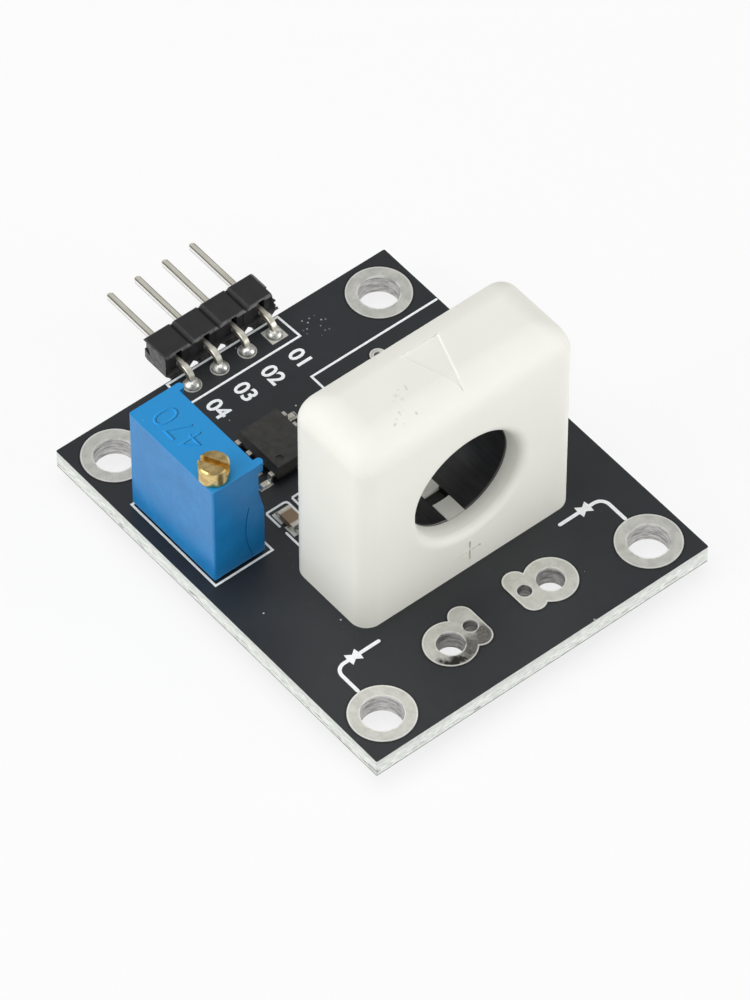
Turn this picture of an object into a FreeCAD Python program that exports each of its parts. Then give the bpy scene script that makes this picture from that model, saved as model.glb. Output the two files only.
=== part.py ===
import FreeCAD, Part
import math
import os

# Hall effect current sensor module, in millimetres.
# Frame: the origin is the centre of the four mounting holes on the underside of the board.
# +Z goes up out of the component side, +Y points to the header, +X to the right seen from above
# with the header at the back. The conductor under test passes through the bore along Y.

V = FreeCAD.Vector
X_AXIS = V(1, 0, 0)
Y_AXIS = V(0, 1, 0)
Z_AXIS = V(0, 0, 1)

# Board
board_t = 1.6
board_corner_r = 0.12
mount_pitch_x = 24.5
mount_pitch_y = 30.3
mount_edge_x = 3.0
mount_edge_y = 3.05
mount_hole_d = 3.15
mount_land_d = 5.0
plating = 0.05
tail_below = 1.5
solder_below = 0.9
solder_in = 0.08

# Wire pads: a large land and a small one beside it, each with its hole
wire_x = 4.6
wire_edge_y = 4.8
wire_hole_d = 2.1
wire_land_d = 4.05
sense_x = 2.5
sense_back = 0.37
sense_hole_d = 1.1
sense_land_w = 1.94
sense_land_l = 4.0

# Via beside the sensor
via_x = 8.4
via_edge_y = 7.65
via_land_d = 1.25
via_hole_d = 0.6

# Right angle header
pin_count = 4
pin_pitch = 2.54
pin_side = 0.5
pin_edge = 0.06
pin_point = 0.2
pin_tip_share = 0.6
header_pad_edge_y = 1.35
header_pad_d = 1.45
header_pad_side = 1.45
header_hole_d = 0.95
header_block_gap = 0.1
header_block_y = 2.6
header_block_top = 2.45
header_chamfer = 0.3
header_low_chamfer = 0.38
header_pin_z = 1.25
header_pin_reach = 5.75
header_bend_r = 0.5
header_tail_back = 0.1
header_notch_w = 1.7
header_notch_y = 0.62
header_notch_top = 2.2
header_dome = 0.55
break_chamfer = 0.12
break_in = 0.26
break_low_in = 0.12
break_l = 0.82
break_low_l = 0.42

# Sensor housing, with the bore along Y
sensor_x = 0.9
sensor_wire_gap = 2.525
sensor_side_r = 1.4
sensor_top_r = 2.55
sensor_face_wall = 1.45
sensor_side_wall = 1.3
sensor_top_wall = 1.35
bore_d = 9.0
lip_r = 2.4
lip_edge_r = 0.8
triangle_w = 3.4
triangle_l = 4.9
triangle_in = 2.3
engraving = 0.12
plus_z = 1.8
plus_size = 2.0
plus_stroke = 0.22

# Magnetic core with its gap, and the hall element in the gap
core_d = 15.2
core_play = 0.05
core_chamfer = 0.15
core_side_gap = 0.8
core_top_gap = 1.2
core_low_gap = 1.2
gap_w = 1.6
element_x = 1.45
element_y = 4.0
element_depth = 0.4
carrier_play = 0.03
carrier_wall = 0.3
carrier_end = 0.55
carrier_front_lug = 1.75
carrier_slot = 1.1
sensor_lead_count = 3
sensor_lead_pitch = 1.27
sensor_pad_pitch = 1.9
sensor_lead_w = 0.4
sensor_lead_t = 0.4
potting_recess = 0.3
sensor_hole_d = 0.7
sensor_pad_d = 1.3

# Trimmer
trimmer_edge_x = 1.2
trimmer_land_gap = 1.77
trimmer_foot_h = 0.35
trimmer_foot = 1.0
trimmer_wall = 0.45
trimmer_gear_wall = 0.28
trimmer_inner_wall = 0.78
trimmer_top_wall = 0.75
trimmer_recess = 0.57
trimmer_step = 0.12
trimmer_slope_low = 4.85
trimmer_slope_top = 7.3
trimmer_ear_h = 0.9
trimmer_ear_l = 0.62
trimmer_ear_r = 0.28
trimmer_edge_r = 0.2
trimmer_arc_in = 11.05
trimmer_arc_z = 3.7
trimmer_arc_r = 8.2
trimmer_arc_top = 6.0
trimmer_arc_w = 0.12
trimmer_arc_depth = 0.06

# Trimmer screw: head, neck and worm
screw_in_x = 1.1
screw_in_y = 1.25
screw_head_d = 2.3
screw_head_h = 1.5
screw_slot_w = 0.5
screw_slot_h = 0.7
screw_slot_turn = -63
screw_edge = 0.12
neck_d = 0.86
journal_d = 0.7
seal_section = 0.3
worm_core_d = 0.8
worm_d = 1.3
worm_pitch = 0.6
worm_turns = 8
worm_root_t = 0.3
worm_tip_t = 0.12
flank_play = 0.07
tip_play = 0.01
running = 0.05

# Trimmer wheel, wiper, plate and pins
wheel_teeth = 30
wheel_t = 0.8
wheel_addendum = 0.1
wheel_low_room = 0.735
wheel_top_room = 1.285
wheel_end_room = 1.45
hub_d = 1.2
wiper_t = 0.1
wiper_d = 2.6
wiper_finger_w = 0.35
wiper_gap = 0.6
track_inner_r = 1.65
track_outer_r = 2.35
track_t = 0.05
track_open = 50.0
plate_t = 0.65
plate_play = 0.05
plate_top_gap = 0.4
base_seal_t = 0.95
trimmer_pin_d = 0.5
trimmer_pin_pitch = 2.54
trimmer_pin_up = 2.4
trimmer_hole_d = 0.8
trimmer_pad_d = 1.6

# Amplifier chip in an eight lead package
chip_x = -2.97
chip_sensor_gap = 6.33
chip_w = 3.9
chip_l = 4.9
chip_h = 1.55
chip_stand = 0.1
chip_lead_reach = 1.05
chip_lead_count = 8
chip_lead_pitch = 1.27
chip_lead_w = 0.42
chip_lead_t = 0.2
chip_foot = 0.65
chip_pad_out = 0.25
chip_pad_l = 1.15
chip_pad_w = 0.6
chip_draft = 0.25
chip_dot_d = 0.6
chip_dot_in = 0.75
chip_solder = 0.22

# Surface capacitors
cap_xs = (-6.29, -3.94)
cap_sensor_gap = 2.22
cap_l = 1.87
cap_w = 1.08
cap_h = 0.6
cap_end = 0.32
cap_pad_out = 0.35
cap_pad_l = 1.1
cap_pad_w = 1.45
cap_solder = 0.32
cap_edge_r = 0.08
cap_body_in = 0.02
pad_t = 0.05


def box(x0, x1, y0, y1, z0, z1):
    return Part.makeBox(x1 - x0, y1 - y0, z1 - z0, V(x0, y0, z0))


def rod(diameter, length, base, axis=Z_AXIS):
    return Part.makeCylinder(diameter / 2, length, base, axis)


def tube(outer_d, inner_d, length, base, axis=Z_AXIS):
    return rod(outer_d, length, base, axis).cut(rod(inner_d, length, base, axis))


def prism(points, sweep):
    return Part.Face(Part.makePolygon(points + [points[0]])).extrude(sweep)


def turned(profile, base, axis):
    """A solid turned about axis through base from a closed wire."""
    return Part.Face(profile).revolve(base, axis, 360)


def fused(shapes):
    """One solid from shapes that meet."""
    body = shapes[0].fuse(shapes[1:]) if len(shapes) > 1 else shapes[0]
    return body.removeSplitter()


def row(count, pitch):
    """Offsets of a row of equal pitch about its middle."""
    return [(index - (count - 1) / 2) * pitch for index in range(count)]


def save(name, shape):
    if shape.ShapeType == "Compound" and len(shape.Solids) == 1:
        shape = shape.Solids[0]
    shape.exportStep("parts/" + name + ".step")


# Places that several pieces share
board_x = mount_pitch_x + 2 * mount_edge_x
board_y = mount_pitch_y + 2 * mount_edge_y
wire_y = wire_edge_y - board_y / 2
sense_y = wire_y + sense_back
via_y = board_y / 2 - via_edge_y
header_xs = row(pin_count, pin_pitch)
header_pad_y = board_y / 2 - header_pad_edge_y
header_face_y = board_y / 2 + header_block_gap
header_end_y = header_face_y + header_block_y + header_pin_reach
header_tail_y = header_pad_y + header_tail_back
header_axis_z = board_t + header_pin_z
sensor_w = core_d + 2 * (core_side_gap + sensor_side_wall)
sensor_h = core_low_gap + core_d + core_top_gap + sensor_top_wall
sensor_depth = element_y + 2 * (carrier_end + core_play + sensor_face_wall)
sensor_front_y = wire_y + wire_land_d / 2 + sensor_wire_gap
sensor_back_y = sensor_front_y + sensor_depth
sensor_mid_y = (sensor_front_y + sensor_back_y) / 2
sensor_top_z = board_t + sensor_h
bore_axis = V(sensor_x, 0, board_t + core_low_gap + core_d / 2)
core_front_y = sensor_front_y + sensor_face_wall
core_back_y = sensor_back_y - sensor_face_wall
sensor_pad_ys = [sensor_mid_y + step for step in row(sensor_lead_count, sensor_pad_pitch)]
element_top_z = bore_axis.z - bore_d / 2 - element_depth
element_bottom_z = bore_axis.z - core_d / 2
wheel_pitch_r = wheel_teeth * worm_pitch / (2 * math.pi)
wheel_tip_r = wheel_pitch_r + wheel_addendum
wheel_root_r = wheel_tip_r - (worm_d - worm_core_d) / 2 - tip_play
wheel_tip_t = worm_pitch - worm_root_t - 2 * flank_play
wheel_root_t = worm_pitch - worm_tip_t - 2 * flank_play
wheel_in_y = screw_in_y + worm_core_d / 2 + running + wheel_tip_r
trimmer_l = wheel_in_y + wheel_tip_r + wheel_end_room + trimmer_wall
trimmer_x = trimmer_edge_x - board_x / 2
trimmer_y1 = mount_pitch_y / 2 - mount_land_d / 2 - trimmer_land_gap
trimmer_y = trimmer_y1 - trimmer_l
trimmer_low_z = board_t + trimmer_foot_h
base_seal_z1 = trimmer_low_z + base_seal_t
screw_x = trimmer_x + screw_in_x
screw_y = trimmer_y + screw_in_y
wheel_y = trimmer_y + wheel_in_y
wheel_axis_z = base_seal_z1 + wheel_low_room + wheel_tip_r
wheel_x1 = screw_x + wheel_t / 2
plate_x0 = wheel_x1 + wiper_gap
plate_x1 = plate_x0 + plate_t
trimmer_pin_x = plate_x1 + trimmer_pin_d / 2
trimmer_mid_y = (trimmer_y + trimmer_y1) / 2
trimmer_pin_ys = [trimmer_mid_y + step for step in row(3, trimmer_pin_pitch)]
cavity_x0 = trimmer_x + trimmer_gear_wall
cavity_x1 = trimmer_pin_x + trimmer_pin_d / 2 + plate_play
cavity_y0 = trimmer_y + trimmer_wall
cavity_y1 = trimmer_y1 - trimmer_wall
cavity_z1 = wheel_axis_z + wheel_tip_r + wheel_top_room
trimmer_x1 = cavity_x1 + trimmer_inner_wall + trimmer_recess
trimmer_top_z = cavity_z1 + trimmer_top_wall
neck_hole_d = neck_d + 2 * running
seal_pocket_d = neck_d + 2 * seal_section + 4 * running
seal_pocket_h = seal_section + running
chip_y = sensor_back_y + chip_sensor_gap + chip_l / 2
chip_span = chip_w + 2 * chip_lead_reach
cap_y = sensor_back_y + cap_sensor_gap + cap_l / 2


def mount_points():
    return [(sx * mount_pitch_x / 2, sy * mount_pitch_y / 2) for sx in (-1, 1) for sy in (1, -1)]


def through_holes():
    """Every plated hole of the board as (x, y, finished diameter)."""
    holes = [(x, y, mount_hole_d) for x, y in mount_points()]
    for side in (-1, 1):
        holes.append((side * wire_x, wire_y, wire_hole_d))
        holes.append((side * sense_x, sense_y, sense_hole_d))
    holes.append((via_x, via_y, via_hole_d))
    holes += [(x, header_pad_y, header_hole_d) for x in header_xs]
    holes += [(sensor_x, y, sensor_hole_d) for y in sensor_pad_ys]
    holes += [(trimmer_pin_x, y, trimmer_hole_d) for y in trimmer_pin_ys]
    return holes


def make_board():
    board = box(-board_x / 2, board_x / 2, -board_y / 2, board_y / 2, 0, board_t)
    uprights = [e for e in board.Edges if abs(e.tangentAt(e.FirstParameter).z) > 0.9]
    board = board.makeFillet(board_corner_r, uprights)
    drills = [rod(d + 2 * plating, board_t, V(x, y, 0)) for x, y, d in through_holes()]
    return board.cut(Part.makeCompound(drills))


def barrel(x, y, hole_d):
    return rod(hole_d + 2 * plating, board_t + 2 * plating, V(x, y, -plating))


def land_disc(x, y, diameter, z):
    return rod(diameter, plating, V(x, y, z))


def plated_hole(x, y, land_d, hole_d):
    """A round plated hole: a barrel with a land on each face of the board."""
    lands = [land_disc(x, y, land_d, z) for z in (-plating, board_t)]
    body = fused([barrel(x, y, hole_d)] + lands)
    return body.cut(barrel(x, y, hole_d - 2 * plating))


def square_plated_hole(x, y, land, hole_d):
    half = land / 2
    lands = [box(x - half, x + half, y - half, y + half, z, z + plating) for z in (-plating, board_t)]
    body = fused([barrel(x, y, hole_d)] + lands)
    return body.cut(barrel(x, y, hole_d - 2 * plating))


def make_wire_pad(side):
    """The large and the small land, joined, with a plated hole in each."""
    straight = (sense_land_l - sense_land_w) / 2
    half = sense_land_w / 2
    x_big = side * wire_x
    x_small = side * sense_x
    pieces = [barrel(x_big, wire_y, wire_hole_d), barrel(x_small, sense_y, sense_hole_d)]
    for z in (-plating, board_t):
        pieces.append(land_disc(x_big, wire_y, wire_land_d, z))
        pieces.append(land_disc(x_small, sense_y - straight, sense_land_w, z))
        pieces.append(land_disc(x_small, sense_y + straight, sense_land_w, z))
        pieces.append(box(x_small - half, x_small + half, sense_y - straight,
                          sense_y + straight, z, z + plating))
    body = fused(pieces)
    body = body.cut(barrel(x_big, wire_y, wire_hole_d - 2 * plating))
    return body.cut(barrel(x_small, sense_y, sense_hole_d - 2 * plating))


def solder_joint(x, y, hole_d, land_d, lead, dome_h):
    """Solder that fills a plated hole round a lead, tapers down it and may dome over the top land."""
    foot_r = land_d / 2 - solder_in
    fill_r = hole_d / 2
    tip_r = foot_r * 0.42
    low = -plating - solder_below
    top = board_t + plating
    profile = [V(0, 0, top), V(0, 0, low), V(tip_r, 0, low), V(foot_r, 0, -plating),
               V(fill_r, 0, -plating), V(fill_r, 0, top)]
    if dome_h > 0:
        profile.append(V(foot_r, 0, top))
        shoulder = V(foot_r * 0.72, 0, top + dome_h * 0.72)
        dome = Part.Arc(profile[-1], shoulder, V(0, 0, top + dome_h)).toShape()
        edges = [Part.LineSegment(a, b).toShape() for a, b in zip(profile[1:], profile[2:])]
        axis_edge = Part.LineSegment(V(0, 0, top + dome_h), profile[1]).toShape()
        joint = turned(Part.Wire(edges + [dome, axis_edge]), V(0, 0, 0), Z_AXIS)
    else:
        joint = turned(Part.makePolygon(profile + [profile[0]]), V(0, 0, 0), Z_AXIS)
    joint.translate(V(x, y, 0))
    return joint.cut(lead)


def make_header_housing():
    """A strip of eight-sided cells off the board's edge, one to a pin, with one end broken off."""
    half = pin_pitch / 2
    c = header_chamfer
    low = header_low_chamfer
    z0 = board_t + header_block_gap
    z1 = board_t + header_block_top
    cells = []
    for x in header_xs:
        left_c = break_chamfer if x == header_xs[0] else c
        outline = [V(x - half, header_face_y, z0 + low), V(x - half + low, header_face_y, z0),
                   V(x + half - low, header_face_y, z0), V(x + half, header_face_y, z0 + low),
                   V(x + half, header_face_y, z1 - c), V(x + half - c, header_face_y, z1),
                   V(x - half + left_c, header_face_y, z1), V(x - half, header_face_y, z1 - left_c)]
        cells.append(prism(outline, V(0, header_block_y, 0)))
    strip = fused(cells).cut(header_break(header_xs[0] - half, (z0 + z1) / 2, z1 - break_chamfer))
    for x in header_xs:
        notch = header_notch_w / 2
        strip = strip.cut(box(x - notch, x + notch, header_face_y, header_face_y + header_notch_y,
                              header_axis_z - pin_side / 2, board_t + header_notch_top))
        strip = strip.cut(pin_bar(x))
    return strip


def header_break(x, mid_z, top_z):
    """What is torn from the outer corner of the strip's end at x, more of it above mid_z."""
    y = header_face_y + header_block_y
    z0 = board_t + header_block_gap
    upper = prism([V(x, y, mid_z), V(x + break_in, y, mid_z), V(x, y - break_l, mid_z)],
                  V(0, 0, top_z - mid_z))
    lower = prism([V(x, y, z0), V(x + break_low_in, y, z0), V(x, y - break_low_l, z0)],
                  V(0, 0, mid_z - z0))
    return Part.makeCompound([upper, lower])


def pin_section(centre, across, scale=1.0):
    """The section of a square pin with broken edges, spread along X and across, as a wire."""
    half = pin_side / 2 * scale
    flat = half - pin_edge * scale
    spots = [(flat, half), (half, flat), (half, -flat), (flat, -half),
             (-flat, -half), (-half, -flat), (-half, flat), (-flat, half)]
    points = [centre + X_AXIS * u + across * v for u, v in spots]
    return Part.makePolygon(points + [points[0]])


def pin_length(start, end, across):
    """A straight length of pin from start to end, with a blunt point at its end."""
    along = (end - start).normalize()
    shoulder = end - along * pin_point
    bar = Part.Face(pin_section(start, across)).extrude(shoulder - start)
    wires = [pin_section(shoulder, across), pin_section(end, across, pin_tip_share)]
    return fused([bar, Part.makeLoft(wires, True, True)])


def pin_bar(x):
    """The straight part of a header pin, from its bend to its outer end."""
    start = V(x, header_tail_y + pin_side / 2 + header_bend_r, header_axis_z)
    return pin_length(start, V(x, header_end_y, header_axis_z), Z_AXIS)


def make_header_pin(x):
    """A square pin, bent down through the board, with both ends blunted."""
    turn_r = header_bend_r + pin_side / 2
    centre = V(x, header_tail_y + turn_r, header_axis_z - turn_r)
    tail = pin_length(V(x, header_tail_y, centre.z), V(x, header_tail_y, -tail_below), Y_AXIS)
    bend = Part.Face(pin_section(centre + Z_AXIS * turn_r, Z_AXIS)).revolve(centre, X_AXIS, 90)
    return fused([pin_bar(x), bend, tail])


def bore_cutter():
    """The bore with its rounded mouths, which narrow to the bore diameter one wall in."""
    r = bore_d / 2
    turn = math.asin(min(1.0, sensor_face_wall / lip_r))
    mouth_r = r + lip_r * (1 - math.cos(turn))
    mid_r = r + lip_r * (1 - math.cos(turn / 2))
    mid_in = sensor_face_wall - lip_r * math.sin(turn / 2)
    front = sensor_front_y
    back = sensor_back_y
    edges = [
        Part.LineSegment(V(0, front, 0), V(mouth_r, front, 0)).toShape(),
        Part.Arc(V(mouth_r, front, 0), V(mid_r, front + mid_in, 0), V(r, core_front_y, 0)).toShape(),
        Part.LineSegment(V(r, core_front_y, 0), V(r, core_back_y, 0)).toShape(),
        Part.Arc(V(r, core_back_y, 0), V(mid_r, back - mid_in, 0), V(mouth_r, back, 0)).toShape(),
        Part.LineSegment(V(mouth_r, back, 0), V(0, back, 0)).toShape(),
        Part.LineSegment(V(0, back, 0), V(0, front, 0)).toShape(),
    ]
    cutter = turned(Part.Wire(edges), V(0, 0, 0), Y_AXIS)
    cutter.translate(bore_axis)
    return cutter


def sensor_block(shrink=0.0):
    """The moulding's outside, or what lies a little inside it: round upright and top edges."""
    half = sensor_w / 2 - shrink
    top_z = sensor_top_z - shrink
    block = box(sensor_x - half, sensor_x + half, sensor_front_y + shrink, sensor_back_y - shrink,
                board_t, top_z)
    uprights = [e for e in block.Edges if abs(e.tangentAt(e.FirstParameter).z) > 0.9]
    block = block.makeFillet(sensor_side_r - shrink, uprights)
    top_edges = [e for e in block.Edges if e.BoundBox.ZMin > top_z - 1e-6]
    return block.makeFillet(sensor_top_r - shrink, top_edges)


def sensor_cavity():
    """The chamber for the core, open at the bottom, with rounded upper corners."""
    half = sensor_w / 2 - sensor_side_wall
    cavity = box(sensor_x - half, sensor_x + half, core_front_y, core_back_y,
                 board_t, sensor_top_z - sensor_top_wall)
    upper = [e for e in cavity.Edges if abs(e.tangentAt(e.FirstParameter).y) > 0.9 and
             e.CenterOfMass.z > board_t + sensor_h / 2]
    return cavity.makeFillet(sensor_top_r, upper)


def make_sensor_housing():
    """One moulding, open below, with the bore's two mouths and the engraved marks."""
    block = sensor_block().cut(bore_cutter())
    rims = [e for e in block.Edges if e.Length > math.pi * bore_d and e.BoundBox.YLength < 1e-3 and
            min(abs(e.CenterOfMass.y - y) for y in (sensor_front_y, sensor_back_y)) < 1e-3 and
            abs(e.CenterOfMass.z - bore_axis.z) < bore_d / 4]
    block = block.makeFillet(lip_edge_r, rims)
    block = block.cut(sensor_cavity())
    half = triangle_w / 2
    back_y = sensor_back_y - triangle_in
    low_z = sensor_top_z - sensor_top_wall
    triangle = [V(sensor_x - half, back_y, low_z), V(sensor_x, back_y - triangle_l, low_z),
                V(sensor_x + half, back_y, low_z)]
    mark = prism(triangle, V(0, 0, 2 * sensor_top_wall)).cut(sensor_block(engraving))
    block = block.cut(mark)
    arm = plus_size / 2
    stroke = plus_stroke / 2
    z = board_t + plus_z
    y1 = sensor_front_y + engraving
    plus = fused([box(sensor_x - arm, sensor_x + arm, sensor_front_y, y1, z - stroke, z + stroke),
                  box(sensor_x - stroke, sensor_x + stroke, sensor_front_y, y1, z - arm, z + arm)])
    return block.cut(plus)


def gap_box(width, y0, y1, z0, z1):
    return box(sensor_x - width / 2, sensor_x + width / 2, y0, y1, z0, z1)


def make_core():
    """A ring core with small chamfers at the bore and a gap at the bottom."""
    y0 = core_front_y + core_play
    length = core_back_y - core_front_y - 2 * core_play
    base = V(bore_axis.x, y0, bore_axis.z)
    ring = tube(core_d, bore_d, length, base, Y_AXIS)
    inner = [e for e in ring.Edges if abs(e.Length - math.pi * bore_d) < 1e-3]
    ring = ring.makeChamfer(core_chamfer, inner)
    return ring.cut(gap_box(gap_w, y0, y0 + length, board_t, bore_axis.z))


def make_carrier():
    """The holder in the core's gap: two lugs flush with the bore and a frame round the element."""
    width = gap_w - 2 * carrier_play
    y0 = core_front_y + core_play
    y1 = core_back_y - core_play
    z0 = element_bottom_z - carrier_wall
    body = gap_box(width, y0, y1, z0, bore_axis.z)
    body = body.cut(rod(bore_d, y1 - y0, V(bore_axis.x, y0, bore_axis.z), Y_AXIS))
    slot_y = y0 + carrier_front_lug
    body = body.cut(gap_box(width, slot_y, slot_y + carrier_slot, element_top_z, bore_axis.z))
    body = body.cut(element_space())
    for lead_y in element_lead_ys():
        half = sensor_lead_w / 2
        body = body.cut(gap_box(sensor_lead_t, lead_y - half, lead_y + half, z0, element_bottom_z))
    return body


def element_space():
    return gap_box(gap_w, sensor_mid_y - element_y / 2, sensor_mid_y + element_y / 2,
                   element_bottom_z, element_top_z)


def element_lead_ys():
    return [sensor_mid_y + step for step in row(sensor_lead_count, sensor_lead_pitch)]


def make_element():
    """The hall element's body, with the draft of a moulded package."""
    y0 = sensor_mid_y - element_y / 2
    y1 = sensor_mid_y + element_y / 2
    body = gap_box(element_x, y0, y1, element_bottom_z, element_top_z)
    uprights = [e for e in body.Edges if abs(e.tangentAt(e.FirstParameter).z) > 0.9]
    return body.makeChamfer(element_x / 8, uprights)


def make_sensor_lead(index):
    """A flat lead from the element, set out to the pad pitch, and down through the board."""
    y_top = element_lead_ys()[index]
    y_low = sensor_pad_ys[index]
    half = sensor_lead_w / 2
    z_bend = element_bottom_z - carrier_wall
    z_low = board_t + potting_recess / 2
    x0 = sensor_x - sensor_lead_t / 2
    outline = [V(x0, y_top - half, element_bottom_z), V(x0, y_top + half, element_bottom_z),
               V(x0, y_top + half, z_bend), V(x0, y_low + half, z_low),
               V(x0, y_low + half, -tail_below), V(x0, y_low - half, -tail_below),
               V(x0, y_low - half, z_low), V(x0, y_top - half, z_bend)]
    return prism(outline, V(sensor_lead_t, 0, 0))


def make_potting(leads):
    """The filling round the core, level a little above the board."""
    core_room = rod(core_d, sensor_depth, V(bore_axis.x, sensor_front_y, bore_axis.z), Y_AXIS)
    body = sensor_cavity().cut(core_room)
    low = box(sensor_x - sensor_w, sensor_x + sensor_w, sensor_front_y, sensor_back_y,
              0, board_t + potting_recess)
    body = body.cut(low)
    body = body.cut(gap_box(gap_w - 2 * carrier_play, core_front_y, core_back_y,
                            element_bottom_z - carrier_wall, bore_axis.z))
    body = body.cut(Part.makeCompound(leads))
    return body


def trimmer_outside():
    """The trimmer's case: its inner side slopes back to two round ears, and it has four feet."""
    body = box(trimmer_x, trimmer_x1, trimmer_y, trimmer_y1, trimmer_low_z, trimmer_top_z)
    inner_x = trimmer_x1 - trimmer_recess
    ear_z = trimmer_top_z - trimmer_ear_h
    low_z = board_t + trimmer_slope_low
    along = V(0, trimmer_l, 0)
    recess = [V(trimmer_x1, trimmer_y, low_z), V(inner_x, trimmer_y, board_t + trimmer_slope_top),
              V(inner_x, trimmer_y, trimmer_top_z), V(trimmer_x1, trimmer_y, trimmer_top_z)]
    body = body.cut(prism(recess, along))
    body = body.cut(box(trimmer_x1 - trimmer_step, trimmer_x1, trimmer_y + trimmer_foot,
                        trimmer_y1 - trimmer_foot, trimmer_low_z, low_z))
    corners = [e for e in body.Edges if abs(e.tangentAt(e.FirstParameter).z) > 0.9 and
               (e.BoundBox.XMin < trimmer_x + 1e-3 or e.BoundBox.XMax > trimmer_x1 - 1e-3) and
               (e.BoundBox.YMin < trimmer_y + 1e-3 or e.BoundBox.YMax > trimmer_y1 - 1e-3)]
    body = body.makeFillet(trimmer_edge_r, corners)
    ears = []
    for y0 in (trimmer_y, trimmer_y1 - trimmer_ear_l):
        ear = box(inner_x - trimmer_edge_r, trimmer_x1, y0, y0 + trimmer_ear_l, ear_z, trimmer_top_z)
        outer = [e for e in ear.Edges if e.BoundBox.XMin > trimmer_x1 - 1e-3 and
                 e.CenterOfMass.z < trimmer_top_z - 1e-3]
        ears.append(ear.makeFillet(trimmer_ear_r, outer))
    feet = []
    for x0 in (trimmer_x, trimmer_x1 - trimmer_foot):
        for y0 in (trimmer_y, trimmer_y1 - trimmer_foot):
            inset = trimmer_edge_r
            feet.append(box(x0 + inset, x0 + trimmer_foot - inset, y0 + inset, y0 + trimmer_foot - inset,
                            board_t, trimmer_low_z))
    return fused([body] + ears + feet)


def make_trimmer_housing():
    """The case with its chamber, open below, and the bores for the screw and its seal."""
    chamber = box(cavity_x0, cavity_x1, cavity_y0, cavity_y1, trimmer_low_z, cavity_z1)
    worm_room = rod(worm_d + 2 * running, cavity_z1 - trimmer_low_z, V(screw_x, screw_y, trimmer_low_z))
    neck = rod(neck_hole_d, trimmer_top_z - trimmer_low_z, V(screw_x, screw_y, trimmer_low_z))
    pocket = rod(seal_pocket_d, seal_pocket_h, V(screw_x, screw_y, trimmer_top_z - seal_pocket_h))
    arc_base = V(trimmer_x + trimmer_arc_in, trimmer_y, board_t + trimmer_arc_z)
    arc = tube(2 * trimmer_arc_r + trimmer_arc_w, 2 * trimmer_arc_r - trimmer_arc_w, trimmer_arc_depth,
               arc_base, Y_AXIS)
    arc = arc.common(box(trimmer_x, trimmer_x1 - trimmer_recess, trimmer_y, trimmer_y1,
                         trimmer_low_z + trimmer_arc_w, board_t + trimmer_arc_top))
    body = trimmer_outside()
    for space in (chamber, worm_room, neck, pocket, arc):
        body = body.cut(space)
    return body


def worm_thread():
    """The worm's single right-hand thread, with a crest half a pitch above the wheel's level."""
    start_z = wheel_axis_z + worm_pitch / 4 - worm_turns / 2 * worm_pitch
    core_r = worm_core_d / 2
    root_r = core_r * 0.9
    tip_r = worm_d / 2
    helix = Part.makeHelix(worm_pitch, worm_pitch * worm_turns, core_r)
    profile = Part.makePolygon([V(root_r, 0, -worm_root_t / 2), V(tip_r, 0, -worm_tip_t / 2),
                                V(tip_r, 0, worm_tip_t / 2), V(root_r, 0, worm_root_t / 2),
                                V(root_r, 0, -worm_root_t / 2)])
    thread = Part.Wire(helix).makePipeShell([profile], True, True)
    thread.translate(V(screw_x, screw_y, start_z))
    return thread


def make_trimmer_screw():
    """Slotted head, neck, worm and lower journal in one turned piece."""
    head_z = trimmer_top_z + running
    low_z = base_seal_z1 + running
    head = rod(screw_head_d, screw_head_h - running, V(screw_x, screw_y, head_z))
    rim = [e for e in head.Edges if e.CenterOfMass.z > head_z + running and e.BoundBox.ZLength < 1e-6]
    head = head.makeChamfer(screw_edge, rim)
    top_z = trimmer_top_z + screw_head_h
    reach = screw_head_d
    slot = box(-reach, reach, -screw_slot_w / 2, screw_slot_w / 2, top_z - screw_slot_h,
               top_z + screw_slot_h)
    slot.rotate(V(0, 0, 0), Z_AXIS, screw_slot_turn)
    slot.translate(V(screw_x, screw_y, 0))
    neck_low_z = cavity_z1
    neck = rod(neck_d, head_z - neck_low_z, V(screw_x, screw_y, neck_low_z))
    worm_low_z = wheel_axis_z - (worm_turns / 2 + 0.5) * worm_pitch
    core = rod(worm_core_d, neck_low_z - worm_low_z, V(screw_x, screw_y, worm_low_z))
    journal = rod(journal_d, worm_low_z - low_z, V(screw_x, screw_y, low_z))
    return fused([head.cut(slot), neck, core, journal, worm_thread()])


def make_trimmer_seal():
    """The square ring that seals the screw's neck."""
    return tube(neck_d + 2 * (seal_section + running), neck_d + 2 * running, seal_section,
                V(screw_x, screw_y, trimmer_top_z - seal_section))


def make_trimmer_wheel():
    """The toothed wheel that the worm turns, with the hub that runs in the plate."""
    x0 = screw_x - wheel_t / 2
    disc = rod(2 * wheel_root_r, wheel_t, V(x0, wheel_y, wheel_axis_z), X_AXIS)
    tip = wheel_tip_t / 2
    root = wheel_root_t / 2
    inside = wheel_root_r * 0.97
    tooth = [V(x0, -inside, -root), V(x0, -wheel_root_r, -root), V(x0, -wheel_tip_r, -tip),
             V(x0, -wheel_tip_r, tip), V(x0, -wheel_root_r, root), V(x0, -inside, root)]
    teeth = []
    for index in range(wheel_teeth):
        one = prism(tooth, V(wheel_t, 0, 0))
        one.rotate(V(0, 0, 0), X_AXIS, index * 360 / wheel_teeth)
        one.translate(V(0, wheel_y, wheel_axis_z))
        teeth.append(one)
    hub = rod(hub_d, wiper_gap + plate_t, V(wheel_x1, wheel_y, wheel_axis_z), X_AXIS)
    return fused([disc] + teeth + [hub])


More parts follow.
